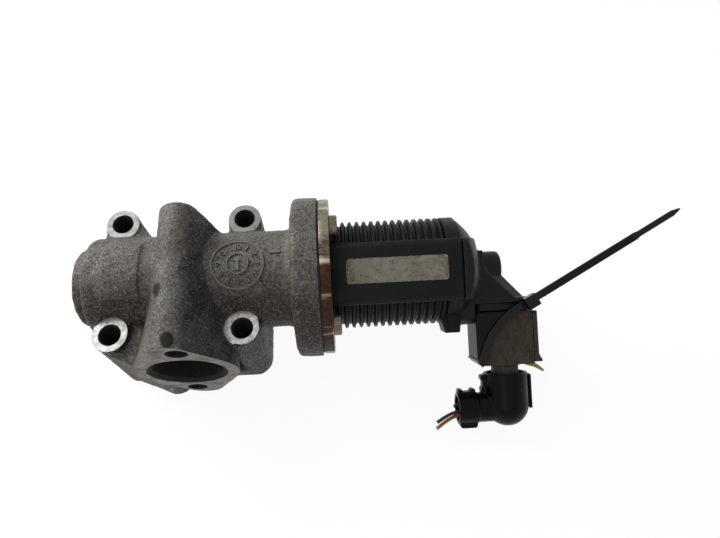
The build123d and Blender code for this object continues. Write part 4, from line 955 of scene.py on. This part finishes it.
def cuts():
    """Solids cut from the rough casting. The slot of each is the finish of the face that it leaves."""
    machined, milled, soot = 1, 2, 3
    yield turned("cut", PLATE_FACE_X, (FLANGE_R + 6, PLATE_FACE_X + 6), steps=128, slot=machined)
    yield prism("cut", rounded_box(160, 160, 5), -12, 0, WORLD, machined)
    yield prism("cut", rounded_box(120, 120, 5), 0, 8, PORT, milled)
    stages = [(CHAMBER_R, SEAT_X), (THROAT_R, PORT_X), (STEM_BORE_R, BUSH_X0)]
    stages += [(BUSH_BORE_R, BUSH_X1), (POCKET_R, PLATE_FACE_X + CLEAR)]
    yield turned("cut", NOSE_X - CLEAR, *stages, slot=soot)
    bend = PORT_MOUTH_L + PORT_BORE_L
    inlet = [(-CLEAR, 0), (-CLEAR, PORT_R + 4.8), (PORT_MOUTH_L, PORT_R), (bend, PORT_R), (bend, PORT_BEND_R)]
    inlet += [(PORT_BEND_L, PORT_BEND_R), (PORT_BEND_L + 3.8, PORT_BEND_R - 3.8), (PORT_BEND_L + 3.8, 0)]
    yield lathe("cut", inlet, INTO_PORT, 128, soot)
    stages = [(OUTLET_R, OUTLET_BORE_L), (OUTLET_BEND_R, STEM_Z)]
    yield turned("cut", -CLEAR, *stages, place=upright(OUTLET_X, STEM_Y), slot=soot)
    for x, y in BOSS_SPOTS:
        face_cut = (SPOT_FACE_R, BOSS_TOP + 5)
        spot_face = turned("cut", BOSS_TOP, face_cut, place=upright(x, y), steps=64, slot=machined)
        # the wall round a spot face stays as cast
        for face in spot_face.data.polygons:
            if abs(face.normal.z) < 0.5:
                face.material_index = 0
        yield spot_face
    wide = BOLT_R + RIM
    for x, y in BOSS_SPOTS:
        hole = [(-CLEAR, 0), (-CLEAR, wide), (0, wide), (RIM, BOLT_R), (BOSS_TOP - RIM, BOLT_R)]
        hole += [(BOSS_TOP, wide), (BOSS_TOP + 8, wide), (BOSS_TOP + 8, 0)]
        yield lathe("cut", hole, upright(x, y), 64, soot)
    wide = PORT_HOLE_R + 0.5
    for place in port_screw_places():
        hole = [(-CLEAR, 0), (-CLEAR, wide), (0, wide), (0.5, PORT_HOLE_R), (20, PORT_HOLE_R), (21.5, 0)]
        yield lathe("cut", hole, place, 48, soot)
    for place in plate_screw_places():
        yield turned("cut", PLATE_FACE_X - 9, (2.6, PLATE_FACE_X + CLEAR), place=place, steps=32, slot=soot)


def casting_body(settings, finishes):
    """The casting: CAD solid with its bores plugged, rebuilt and roughened, then cut to size."""
    casting = joined("casting", [cad_copy("raw_casting", "housing"), *fillers()])
    cast_skin(softened(casting, settings.voxel / MM, 7), settings)
    for finish in finishes:
        casting.data.materials.append(finish)
    for cutter in cuts():
        for finish in finishes:
            cutter.data.materials.append(finish)
        combine(casting, cutter)
    return casting


class EGR_OT_casting(Operator):
    """Make the valve casting with its machined faces and sooty bores"""

    bl_idname = "egr.casting"
    bl_label = "Casting"

    def execute(self, context):
        settings = context.scene.egr_casting
        finishes = [cast_metal(settings), machined_metal(settings), port_metal(settings), soot_metal()]
        casting = casting_body(settings, finishes)
        dressed(casting, "casing", finishes, ["housing"], 40.0)
        return {"FINISHED"}


# ---------------------------------------------------------------- marks on the casting
DIAL_X, DIAL_TURN = 27.7, 95.2
DIAL_R, DIAL_HUB_R = 11.0, 4.5
DIAL_RISE = 0.75
ARROW = ((-0.6, -3.4), (0.6, -3.4), (0.6, 1.2), (1.8, 1.2), (0, 3.6), (-1.8, 1.2), (-0.6, 1.2))
BAR_X, BAR_TURN = 43.5, 83.0


def on_barrel(along, across, rise, middle_x=DIAL_X, turn=DIAL_TURN):
    """Point wrapped on the barrel, from flat millimetres about a spot of it."""
    angle = radians(turn) - across / BARREL_R
    radius = BARREL_R + rise
    return (middle_x + along, radius * cos(angle), radius * sin(angle))


def wrapped(name, points, faces, **spot):
    """A solid whose points are given flat and then wrapped on the barrel."""
    return solid(name, [on_barrel(*point, **spot) for point in points], faces, STEM)


def dial_ring(radius, width, steps=64):
    """A raised ring on the barrel."""
    section = ((-width, -0.8), (-width / 2, DIAL_RISE), (width / 2, DIAL_RISE), (width, -0.8))
    points, faces = [], []
    for step in range(steps):
        turn = 2 * pi * step / steps
        points += [((radius + out) * cos(turn), (radius + out) * sin(turn), rise) for out, rise in section]
    for step in range(steps):
        here, after = 4 * step, 4 * ((step + 1) % steps)
        faces += [(here + i, here + (i + 1) % 4, after + (i + 1) % 4, after + i) for i in range(4)]
    return wrapped("ring", points, faces)


def dial_number(number, along, across, size, turn):
    """A raised number on the barrel, turned about its middle."""
    letters = bpy.data.curves.new("number", "FONT")
    letters.body = str(number)
    letters.size = size
    letters.extrude = 0.5
    letters.align_x = letters.align_y = "CENTER"
    letters.resolution_u = 3
    text = bpy.data.objects.new("number", letters)
    bpy.context.scene.collection.objects.link(text)
    mesh = bpy.data.meshes.new_from_object(text)
    bpy.data.objects.remove(text)
    bpy.data.curves.remove(letters)
    across_way = Matrix.Rotation(turn, 2)
    points = []
    for vertex in mesh.vertices:
        flat = across_way @ vertex.co.xy
        points.append((flat.x + along, flat.y + across, vertex.co.z + DIAL_RISE - 0.5))
    faces = [list(face.vertices) for face in mesh.polygons]
    bpy.data.meshes.remove(mesh)
    return wrapped("number", points, faces)


def raised_pad(outline, rise, bevel, **spot):
    """A raised flat pad on the barrel from a flat outline."""
    inner = [(x * (1 - bevel), y * (1 - bevel)) for x, y in outline]
    points = [(x, y, -1.0) for x, y in outline] + [(x, y, rise) for x, y in inner]
    return wrapped("pad", points, skin_faces(len(outline)), **spot)


def barrel_patch(name, x0, x1, start, end, rise, bevel, steps=30):
    """A raised pad on the barrel between two angles from +Y towards +Z, with bevelled edges."""
    foot = -1.5
    rows = ((x0, foot), (x0, rise - bevel), (x0 + bevel, rise))
    rows += ((x1 - bevel, rise), (x1, rise - bevel), (x1, foot))
    count = steps + 1
    points, faces = [], []
    for x, height in rows:
        for step in range(count):
            turn = radians(start + (end - start) * step / steps)
            radius = BARREL_R + (foot if step in (0, steps) else height)
            points.append((x, radius * cos(turn), radius * sin(turn)))
    for row in range(len(rows)):
        here, after = row * count, (row + 1) % len(rows) * count
        faces += [(here + i, here + i + 1, after + i + 1, after + i) for i in range(steps)]
    faces.append([row * count for row in range(len(rows))])
    faces.append([row * count + steps for row in range(len(rows))][::-1])
    return solid(name, points, faces, STEM)


class EGR_OT_marks(Operator):
    """Make the bare raised panel, the numbered dial and the small bar cast on the barrel"""

    bl_idname = "egr.marks"
    bl_label = "Casting marks"

    def execute(self, context):
        finish = bpy.data.materials["cast_aluminium"]
        panel = barrel_patch("marking_panel", PANEL_X0, PANEL_X1, 61.0, 133.0, 0.9, 0.5)
        cast_skin(softened(panel, 0.6, 2), context.scene.egr_casting)
        dressed(panel, "casing", [finish], angle=50.0)
        marks = [dial_ring(DIAL_R, 0.55), dial_ring(DIAL_HUB_R, 0.45)]
        reach = (DIAL_R + DIAL_HUB_R) / 2 + 0.1
        for hour in range(12):
            turn = radians(90 - 30 * hour)
            marks.append(dial_number(hour or 12, reach * cos(turn), reach * sin(turn), 3.7, turn - pi / 2))
        marks.append(raised_pad(ARROW, DIAL_RISE, 0.1))
        marks.append(raised_pad(rounded_box(5.2, 1.5, 0.6), 0.55, 0.15, middle_x=BAR_X, turn=BAR_TURN))
        dressed(joined("dial_marks", marks), "casing", [finish], angle=50.0)
        return {"FINISHED"}


# ---------------------------------------------------------------- flange plate and screws
PLATE_BORE_R = 11.05
SCREW_R = 2.5
SCREW_HEAD_L = 3.5
SCREW_LENGTH = 13.8
SOCKET_R, SOCKET_DEPTH = 2.3, 2.0


def clad(finish, *nodes):
    """Give CAD nodes a finish."""
    for node in nodes:
        for place in NODES[node].material_slots:
            place.material = finish


def repeated(piece, material, count, step=(0.0, 0.0, 0.0), turn=0.0):
    """Repeat a piece along a step in millimetres and round local X, with Geometry Nodes."""
    tree = bpy.data.node_groups.new(f"{piece.name}_repeat", "GeometryNodeTree")
    face = tree.interface
    face.new_socket("Geometry", in_out="INPUT", socket_type="NodeSocketGeometry")
    for label, kind in (("Count", "Int"), ("Step", "Vector"), ("Turn", "Float"), ("Material", "Material")):
        face.new_socket(label, in_out="INPUT", socket_type=f"NodeSocket{kind}")
    face.new_socket("Geometry", in_out="OUTPUT", socket_type="NodeSocketGeometry")
    node, link = tree.nodes.new, tree.links.new
    given, result = node("NodeGroupInput"), node("NodeGroupOutput")
    index, shift = node("GeometryNodeInputIndex"), node("ShaderNodeVectorMath")
    shift.operation = "SCALE"
    link(given.outputs["Step"], shift.inputs[0])
    link(index.outputs[0], shift.inputs["Scale"])
    spots = node("GeometryNodePoints")
    link(given.outputs["Count"], spots.inputs["Count"])
    link(shift.outputs[0], spots.inputs["Position"])
    angle, way = node("ShaderNodeMath"), node("ShaderNodeCombineXYZ")
    angle.operation = "MULTIPLY"
    link(index.outputs[0], angle.inputs[0])
    link(given.outputs["Turn"], angle.inputs[1])
    link(angle.outputs[0], way.inputs["X"])
    rotation = node("FunctionNodeEulerToRotation")
    link(way.outputs[0], rotation.inputs[0])
    copies = node("GeometryNodeInstanceOnPoints")
    link(spots.outputs[0], copies.inputs["Points"])
    link(given.outputs["Geometry"], copies.inputs["Instance"])
    link(rotation.outputs[0], copies.inputs["Rotation"])
    real, paint = node("GeometryNodeRealizeInstances"), node("GeometryNodeSetMaterial")
    link(copies.outputs[0], real.inputs[0])
    link(real.outputs[0], paint.inputs["Geometry"])
    link(given.outputs["Material"], paint.inputs["Material"])
    link(paint.outputs[0], result.inputs[0])
    modifier = piece.modifiers.new("Repeat", "NODES")
    modifier.node_group = tree
    values = {"Count": count, "Step": [part * MM for part in step], "Turn": turn, "Material": material}
    for socket in face.items_tree:
        if socket.in_out == "INPUT" and socket.name in values:
            modifier[socket.identifier] = values[socket.name]
    return settle(piece)


def moved(piece, place):
    """Move a piece's mesh to a place whose scale is already in the mesh."""
    piece.data.transform(WORLD @ place @ WORLD.inverted())
    return piece


class EGR_OT_plate(Operator):
    """Make the mounting plate with rounded rims and finish the gasket behind it"""

    bl_idname = "egr.plate"
    bl_label = "Plate"

    def execute(self, context):
        settings = context.scene.egr_casting
        clad(soft_part("fibre_gasket", (0.012, 0.011, 0.010), 0.75), "flange_gasket")
        low, high = PLATE_X0, PLATE_X1
        rim = [(low, PLATE_BORE_R), (low, PLATE_R - 0.5), (low + 0.15, PLATE_R - 0.15), (low + 0.5, PLATE_R)]
        rim += [(high - 0.7, PLATE_R), (high - 0.2, PLATE_R - 0.2), (high, PLATE_R - 0.7)]
        rim += [(high, PLATE_BORE_R)]
        plate = lathe("mounting_plate_dressed", rim, STEM, 160)
        for place in plate_screw_places():
            combine(plate, turned("hole", low - 1, (SCREW_R + 0.2, high + 1), place=place, steps=32))
        dressed(plate, "casing", [plate_steel(settings)], ["mounting_plate"])
        return {"FINISHED"}


class EGR_OT_screws(Operator):
    """Make the plate's four socket screws"""

    bl_idname = "egr.screws"
    bl_label = "Plate screws"

    def execute(self, context):
        head, foot = PLATE_X1, PLATE_X1 - SCREW_LENGTH
        outline = [(foot, 0), (foot, SCREW_R - 0.4), (foot + 0.4, SCREW_R), (head, SCREW_R)]
        top = head + SCREW_HEAD_L
        outline += [(head, SCREW_HEAD_R - 0.15), (head + 0.2, SCREW_HEAD_R), (top - 0.7, SCREW_HEAD_R)]
        outline += [(top - 0.2, SCREW_HEAD_R - 0.25), (top, SCREW_HEAD_R - 0.75), (top, 0)]
        along = WORLD @ Matrix.Translation((0, SCREW_CIRCLE_R, 0))
        screw = lathe("plate_screws_dressed", outline, along, 40)
        hexagon = circle(SOCKET_R, steps=6)
        combine(screw, prism("socket", hexagon, top - SOCKET_DEPTH, top + 1, along @ ACROSS))
        finish = plain_steel("screw_steel", (0.20, 0.18, 0.13), 0.38, 1.0, 0.8)
        moved(screw, Matrix.Rotation(SCREW_TURNS[0], 4, "X"))
        repeated(screw, finish, len(SCREW_TURNS), turn=pi / 2)
        moved(screw, WORLD.inverted() @ ARM)
        dressed(screw, "casing", [finish], ["plate_screws"])
        return {"FINISHED"}


# ---------------------------------------------------------------- solenoid
SHELL_X, COVER_X = ends_mm("solenoid_shell")
SHELL_BORE_R, ROOT_R, CREST_R = 20.65, 22.4, 24.3
BAND_L = 6.2
PAD_HALF, PAD_FACE, PAD_FOOT = 13.2, 26.0, 18.0
LUG_REACH, LUG_FRONT, LUG_L = 28.0, 12.5, 9.0
LABEL_Y0, LABEL_Y1 = -4.2, 6.4
# outline of the end cover's rounded corner, as (x, radius)
DOME = ((124.2, 30.5), (125.5, 28.6), (127.3, 26.2), (128.8, 24.0), (130.1, 21.5), (131.6, 17.5))
DOME += ((132.9, 13.0), (134.2, 8.5), (135.4, 4.0), (135.6, 0.0))
# the connector on the end cover, in the arm's frame
CONN_X0 = COVER_X + 7.1
CONN_X1 = CONN_X0 + 26.0
CONN_FRONT, CONN_BACK = 10.0, -9.5
CONN_MID_X = CONN_X0 + 14.4
CONN_MID_Z = (CONN_FRONT + CONN_BACK) / 2
# blocks of the end cover that the dome rounds off: their ends along X, then the Y and Z of each
COVER_BLOCK_X0, COVER_BLOCK_X1 = 125, 140
COVER_BLOCKS = ((-17, 17, CONN_FRONT + 0.1, 30), (8.0, 17, -0.5, 12))


def bevelled(piece, width, segments=2):
    """Round a piece's sharp edges."""
    return modify(
        piece, "BEVEL", width=width * MM, segments=segments, limit_method="ANGLE", angle_limit=radians(28)
    )


def pad_outline(inset):
    """The label pad across the stem, drawn in by an inset."""
    side, top = PAD_HALF - 0.75 * inset, PAD_FACE - inset
    shoulder = PAD_FACE - 1.6 - 0.6 * inset
    half = [(side, PAD_FOOT), (side, shoulder), (side - 2.0, top)]
    return [(-y, z) for y, z in half] + [(y, z) for y, z in half[::-1]]


class EGR_OT_shell(Operator):
    """Make the solenoid's ribbed shell with its label pad and lug"""

    bl_idname = "egr.shell"
    bl_label = "Solenoid shell"

    def execute(self, context):
        settings = context.scene.egr_solenoid
        finish = black_plastic("ribbed_plastic", settings, 0.42, 0.28, 0.15)
        band = COVER_X - BAND_L
        wall = [(SHELL_X, SHELL_BORE_R), (SHELL_X, ROOT_R), (band - 0.5, ROOT_R), (band - 0.1, ROOT_R + 0.4)]
        wall += [(band, CREST_R - 0.5), (band + 0.15, CREST_R - 0.15), (band + 0.5, CREST_R)]
        wall += [(COVER_X - 0.6, CREST_R), (COVER_X - 0.15, CREST_R - 0.2)]
        wall += [(COVER_X, CREST_R - 0.6), (COVER_X, SHELL_BORE_R)]
        shell = lathe("solenoid_shell_dressed", wall, STEM, 144)
        half = settings.rib_width / 2 / MM
        side = [(half + 0.65, ROOT_R - 0.5), (half + 0.4, ROOT_R + 0.35), (half + 0.05, CREST_R - 0.5)]
        side += [(half - 0.15, CREST_R - 0.12), (half - 0.4, CREST_R)]
        start = SHELL_X + settings.rib_first / MM
        crest = [(start - x, r) for x, r in side] + [(start + x, r) for x, r in side[::-1]]
        rib = lathe("ribs", crest, WORLD, 144)
        repeated(rib, finish, settings.rib_count, step=(settings.rib_pitch / MM, 0, 0))
        combine(shell, moved(rib, WORLD.inverted() @ STEM), "UNION")
        pad = [(SHELL_X + 0.2, pad_outline(0)), (COVER_X - 0.9, pad_outline(0)), (COVER_X, pad_outline(0.9))]
        combine(shell, bevelled(loft("pad", pad, ARM @ ACROSS), 0.3), "UNION")
        root = 6.0 - ROOT_R
        low, high = COVER_X - LUG_L, COVER_X
        lug = [(low, root), (low, 7.0 - LUG_REACH), (low + 0.2 * LUG_L, -LUG_REACH)]
        lug += [(high - 0.6, -LUG_REACH), (high, 5.0 - LUG_REACH), (high, root)]
        combine(shell, bevelled(prism("lug", lug, 0, LUG_FRONT, ARM), 0.4), "UNION")
        x0, x1, edge = low + 3.0, low + 7.6, 1.2 - LUG_REACH
        step = [(x0, root), (x0, edge), (x1, edge), (x1, root)]
        combine(shell, bevelled(prism("lug_step", step, LUG_FRONT - 2, LUG_FRONT + 0.9, ARM), 0.3), "UNION")
        combine(shell, turned("bore", SHELL_X - 1, (SHELL_BORE_R, COVER_X + 1), steps=144))
        shell.data.materials.clear()
        dressed(shell, "casing", [finish], ["solenoid_shell"], 30.0)
        return {"FINISHED"}


class EGR_OT_label(Operator):
    """Make the bare cream label with its nicked edge"""

    bl_idname = "egr.label"
    bl_label = "Label"

    def execute(self, context):
        settings = context.scene.egr_solenoid
        middle = Vector((LABEL_MID_X, (LABEL_Y0 + LABEL_Y1) / 2))
        corners = rounded_box(LABEL_X1 - LABEL_X0, LABEL_Y1 - LABEL_Y0, 1.3, middle.x, middle.y)
        outline = []
        for start, end in zip(corners, corners[1:] + corners[:1]):
            start, end = Vector(start), Vector(end)
            count = max(1, round((end - start).length / 0.5))
            for step in range(count):
                point = start.lerp(end, step / count)
                # the upper edge is nicked most
                depth = 1.5 if point.y > middle.y + 4 else 0.5
                worn = max(0.0, noise.noise((point.x * 0.9, point.y * 0.9, 3.0)) - 0.12) * depth
                outline.append(point + (middle - point).normalized() * worn)
        sections = [
            (PAD_FACE + height, [middle + (point - middle) * share for point in outline])
            for height, share in ((0.0, 1.0), (0.1, 1.0), (0.15, 0.997))
        ]
        label = loft("label_dressed", sections, ARM)
        dressed(label, "casing", [label_film(settings)], ["label"])
        return {"FINISHED"}


class EGR_OT_cover(Operator):
    """Make the domed end cover with its boss, arm and shroud"""

    bl_idname = "egr.cover"
    bl_label = "End cover"

    def execute(self, context):
        settings = context.scene.egr_solenoid
        cover = cad_copy("cover", "end_cover")
        for y0, y1, z0, z1 in COVER_BLOCKS:
            x0, x1 = COVER_BLOCK_X0, COVER_BLOCK_X1
            block = prism("block", [(x0, y0), (x1, y0), (x1, y1), (x0, y1)], z0, z1, ARM)
            combine(block, lathe("dome", [(100, 0), (100, 30.5), *DOME], ARM, 64))
            combine(cover, block)
        seat = [(140, -9), (140, -17.5), (155, -17.5), (155, -15.2), (149, -9)]
        collar = rounded_box(CONN_X1 - CONN_X0 - 2, 17.6, 2.2, (CONN_X0 + CONN_X1) / 2, -CONN_MID_Z)
        filled = [cover, prism("filler", seat, -1.2, 1.7, ARM)]
        filled.append(prism("filler", collar, 15.5, 19.8, ARM @ Matrix.Rotation(pi / 2, 4, "X")))
        cover = softened(joined("end_cover_dressed", filled), 0.45, 3)
        finish = black_plastic("cover_plastic", settings, 0.4, 0.25)
        dressed(cover, "casing", [finish], ["end_cover"], 60.0)
        return {"FINISHED"}


# ---------------------------------------------------------------- connector
PLUG_END = 44.0
NECK_R, NECK_END = 6.2, 52.0


def moulded(name, node, finish, voxel, passes):
    """A CAD node's shape with rounded edges and a finish."""
    piece = softened(cad_copy(name, node), voxel, passes)
    return dressed(piece, "casing", [finish], [node], 60.0)


class EGR_OT_plug(Operator):
    """Make the mating plug with its rail, neck and brass lock spring"""

    bl_idname = "egr.plug"
    bl_label = "Plug"

    def execute(self, context):
        settings = context.scene.egr_connector
        finish = plug_plastic(settings)
        moulded("plug_dressed", "plug_housing", finish, 0.36, 2)
        moulded("plug_rail_dressed", "plug_rail", finish, 0.25, 2)
        down = ARM @ Matrix.Translation((CONN_MID_X, 0, CONN_MID_Z)) @ Matrix.Rotation(-pi / 2, 4, "Z")
        start = PLUG_END + 0.05
        outline = [(start, 0), (start, NECK_R + 0.6), (start + 0.8, NECK_R + 0.6)]
        outline += [(start + 1.1, NECK_R + 0.3), (start + 1.1, NECK_R), (NECK_END - 0.3, NECK_R)]
        outline += [(NECK_END, NECK_R - 0.3), (NECK_END, 0)]
        neck = lathe("plug_neck_dressed", outline, down, 64)
        olive = soft_part("olive_neck", (0.022, 0.021, 0.013), 0.55, 2.0, 0.06)
        dressed(neck, "casing", [olive], ["plug_neck"])
        brass = plain_steel("tarnished_brass", (0.30, 0.22, 0.055), 0.32, 0.8, 0.5)
        moulded("lock_spring_dressed", "lock_spring", brass, 0.16, 2)
        return {"FINISHED"}


class EGR_OT_elbow(Operator):
    """Make the elbow over the wires with its lock strip"""

    bl_idname = "egr.elbow"
    bl_label = "Elbow"

    def execute(self, context):
        settings = context.scene.egr_connector
        finish = black_plastic("glossy_plastic", settings, 0.24, 0.12, 0.1)
        moulded("elbow_dressed", "elbow_cover", finish, 0.36, 3)
        moulded("lock_strip_dressed", "elbow_lock_strip", finish, 0.25, 2)
        return {"FINISHED"}


# ---------------------------------------------------------------- wires
WIRE_D = 1.6
# routes in the arm's frame: down out of the neck, round the elbow and out of its sleeve
ROUTES = {
    "green": (
        (145.4, -52.0, 2.4), (145.4, -58.0, 2.4), (139.5, -64.2, 2.4), (130.5, -64.4, 2.5),
        (122.5, -64.7, 2.6), (116.6, -66.4, 2.8), (111.9, -69.4, 2.9),
    ),
    "orange": (
        (147.6, -52.0, 0.9), (147.6, -59.5, 0.9), (140.6, -66.4, 0.9), (130.5, -66.5, 1.0),
        (122.5, -66.7, 1.3), (116.8, -68.7, 1.7), (111.7, -72.4, 2.0),
    ),
}
SHORT_WIRES = {"yellow": (0.42, 0.28, 0.03), "brown": (0.07, 0.03, 0.015), "black": (0.01, 0.01, 0.011)}


def wire_curve(name, places):
    """A round wire through places in world space."""
    line = bpy.data.curves.new(name, "CURVE")
    line.dimensions = "3D"
    line.bevel_depth = WIRE_D / 2 * MM
    line.bevel_resolution = 5
    line.use_fill_caps = True
    spline = line.splines.new("NURBS")
    spline.points.add(len(places) - 1)
    for point, place in zip(spline.points, places):
        point.co = (*place, 1.0)
    spline.order_u = 3
    spline.use_endpoint_u = True
    spline.resolution_u = 12
    wire = bpy.data.objects.new(name, line)
    bpy.context.scene.collection.objects.link(wire)
    return wire


class EGR_OT_wires(Operator):
    """Make the two cut wires and finish the short ends behind them"""

    bl_idname = "egr.wires"
    bl_label = "Wires"

    def execute(self, context):
        settings = context.scene.egr_connector
        colors = {"green": settings.green, "orange": settings.orange}
        for name, route in ROUTES.items():
            places = [ARM @ Vector(point) for point in route]
            wire = wire_curve(f"{name}_wire", places)
            wire.data.materials.append(insulation(f"{name}_insulation", tuple(colors[name])))
            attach(wire, "casing")
            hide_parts(f"wire_{name}")
            tuple(places[0])
        for name, color in SHORT_WIRES.items():
            clad(insulation(f"{name}_insulation", color), f"wire_{name}")
        return {"FINISHED"}


# ---------------------------------------------------------------- cable tie
TIE_T = 1.1
TAIL_L, TAIL_TURN = 79.0, radians(28.3)
TAIL_Z = CONN_FRONT + 0.05 + TIE_T + 1.4
# the teeth and the rails beside them run from one spot of the tail to the other
TEETH_X0, TEETH_X1 = 5.2, 0.7 * TAIL_L
TOOTH_L, TOOTH_HALF_W, RAIL_Y = 0.8, 1.05, 1.42
TAIL = ARM @ Matrix.Translation((CONN_X1 - 1.25, -15.3, TAIL_Z)) @ Matrix.Rotation(TAIL_TURN, 4, "Z")


class EGR_OT_tie(Operator):
    """Make the cable tie round the plug, with its head and toothed tail"""

    bl_idname = "egr.tie"
    bl_label = "Cable tie"

    def execute(self, context):
        settings = context.scene.egr_connector
        finish = nylon(settings)
        pitch, top = settings.tooth_pitch / MM, TIE_T
        tooth = [(0, top - 0.2), (TOOTH_L, top - 0.2), (TOOTH_L - 0.12, top + 0.1), (0.2, top + 0.34)]
        tooth += [(0, top + 0.3)]
        points = [(TEETH_X0 + x, y, z) for y in (-TOOTH_HALF_W, TOOTH_HALF_W) for x, z in tooth]
        teeth = solid("teeth", points, skin_faces(len(tooth)), WORLD)
        repeated(teeth, finish, int((TEETH_X1 - TEETH_X0) / pitch), step=(pitch, 0, 0))
        pieces = [softened(cad_copy("strap", "tie_strap"), 0.28, 3), moved(teeth, WORLD.inverted() @ TAIL)]
        for y in (-RAIL_Y, RAIL_Y):
            rail = rounded_box(TEETH_X1 - TEETH_X0, 0.45, 0.2, (TEETH_X0 + TEETH_X1) / 2, y)
            pieces.append(bevelled(prism("rail", rail, top - 0.3, top + 0.3, TAIL), 0.08))
        tie = joined("tie_strap_dressed", pieces)
        dressed(tie, "casing", [finish], ["tie_strap"], 40.0)
        moulded("tie_head_dressed", "tie_head", finish, 0.2, 3)
        return {"FINISHED"}


# ---------------------------------------------------------------- inner parts
# name, colour, roughness, size of the stains and share of rust, with the CAD nodes that wear it
METALS = (
    ("sooty_steel", (0.09, 0.08, 0.07), 0.5, 2.0, 0.6, "valve_disc", "valve_seat_ring"),
    ("ground_steel", (0.42, 0.40, 0.37), 0.25, 2.0, 0.0, "valve_stem", "spring_retainer", "armature_sleeve"),
    ("magnet_steel", (0.30, 0.30, 0.30), 0.4, 2.0, 0.0, "armature", "pole_piece", "rear_yoke", "flux_tube"),
    ("stamped_steel", (0.16, 0.14, 0.11), 0.45, 1.5, 0.5, "end_plug"),
    ("bush_bronze", (0.34, 0.19, 0.08), 0.35, 1.0, 0.0, "guide_bush"),
)
# name, colour, roughness, size and depth of the mottle, with the CAD nodes that wear it
SOFT_PARTS = (
    ("seal_rubber", (0.012, 0.012, 0.012), 0.6, 1.2, 0.05, "stem_seal"),
    ("bobbin_nylon", (0.30, 0.28, 0.22), 0.45, 1.2, 0.05, "coil_bobbin"),
    ("sensor_nylon", (0.05, 0.05, 0.055), 0.4, 1.2, 0.05, "sensor_carrier", "sensor_plunger", "plug_carrier"),
    ("resistor_film", (0.10, 0.07, 0.05), 0.35, 0.6, 0.01, "sensor_track"),
)


class EGR_OT_inner(Operator):
    """Finish the valve, the coil and the sensor inside"""

    bl_idname = "egr.inner"
    bl_label = "Inner parts"

    def execute(self, context):
        for make, table in ((plain_steel, METALS), (soft_part, SOFT_PARTS)):
            for name, color, roughness, size, amount, *nodes in table:
                clad(make(name, color, roughness, size, amount), *nodes)
        clad(wound_copper(), "coil_winding")
        return {"FINISHED"}


class EGR_OT_springs(Operator):
    """Make the return spring and finish the sensor's spring"""

    bl_idname = "egr.springs"
    bl_label = "Springs"

    def execute(self, context):
        wire = plain_steel("spring_wire", (0.22, 0.22, 0.23), 0.3)
        clad(wire, "sensor_spring")
        spring = cad_copy("return_spring_dressed", "return_spring")
        dressed(spring, "casing", [wire], ["return_spring"])
        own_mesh(spring)
        return {"FINISHED"}


class EGR_OT_pins(Operator):
    """Make the connector's tinned pins"""

    bl_idname = "egr.pins"
    bl_label = "Connector pins"

    def execute(self, context):
        pins = cad_copy("pins_dressed", "connector_pins")
        combine(pins, prism("cut", rounded_box(40, 20, 1, CONN_MID_X, -5.6), -4, 4, ARM))
        tinned = plain_steel("tinned_metal", (0.55, 0.55, 0.53), 0.3)
        dressed(pins, "casing", [tinned], ["connector_pins"])
        return {"FINISHED"}


# ---------------------------------------------------------------- run
PIECES = (
    EGR_OT_stage,
    EGR_OT_casting,
    EGR_OT_marks,
    EGR_OT_plate,
    EGR_OT_screws,
    EGR_OT_shell,
    EGR_OT_label,
    EGR_OT_cover,
    EGR_OT_plug,
    EGR_OT_elbow,
    EGR_OT_wires,
    EGR_OT_tie,
    EGR_OT_inner,
    EGR_OT_springs,
    EGR_OT_pins,
)
SETTINGS = {
    "egr_casting": CastingSettings,
    "egr_solenoid": SolenoidSettings,
    "egr_connector": ConnectorSettings,
    "egr_stage": StageSettings,
}


class EGR_PT_pieces(Panel):
    """Sidebar panel with one button for each group of pieces"""

    bl_label = "EGR Valve"
    bl_idname = "EGR_PT_pieces"
    bl_space_type = "VIEW_3D"
    bl_region_type = "UI"
    bl_category = "EGR Valve"

    def draw(self, context):
        for piece in PIECES:
            self.layout.operator(piece.bl_idname)
        for name in SETTINGS:
            group = getattr(context.scene, name)
            box = self.layout.box()
            for setting in group.bl_rna.properties.keys():
                if setting not in ("rna_type", "name"):
                    box.prop(group, setting)


CLASSES = (*SETTINGS.values(), *PIECES, EGR_PT_pieces)


def register():
    """Add the settings, the operators and the panel to Blender."""
    for cls in CLASSES:
        bpy.utils.register_class(cls)
    for name, group in SETTINGS.items():
        setattr(bpy.types.Scene, name, PointerProperty(type=group))


def unregister():
    """Take them out again."""
    for name in SETTINGS:
        delattr(bpy.types.Scene, name)
    for cls in reversed(CLASSES):
        bpy.utils.unregister_class(cls)


def main():
    """Make every piece in order."""
    register()
    for piece in PIECES:
        group, action = piece.bl_idname.split(".")
        getattr(getattr(bpy.ops, group), action)()


if __name__ == "__main__":
    main()
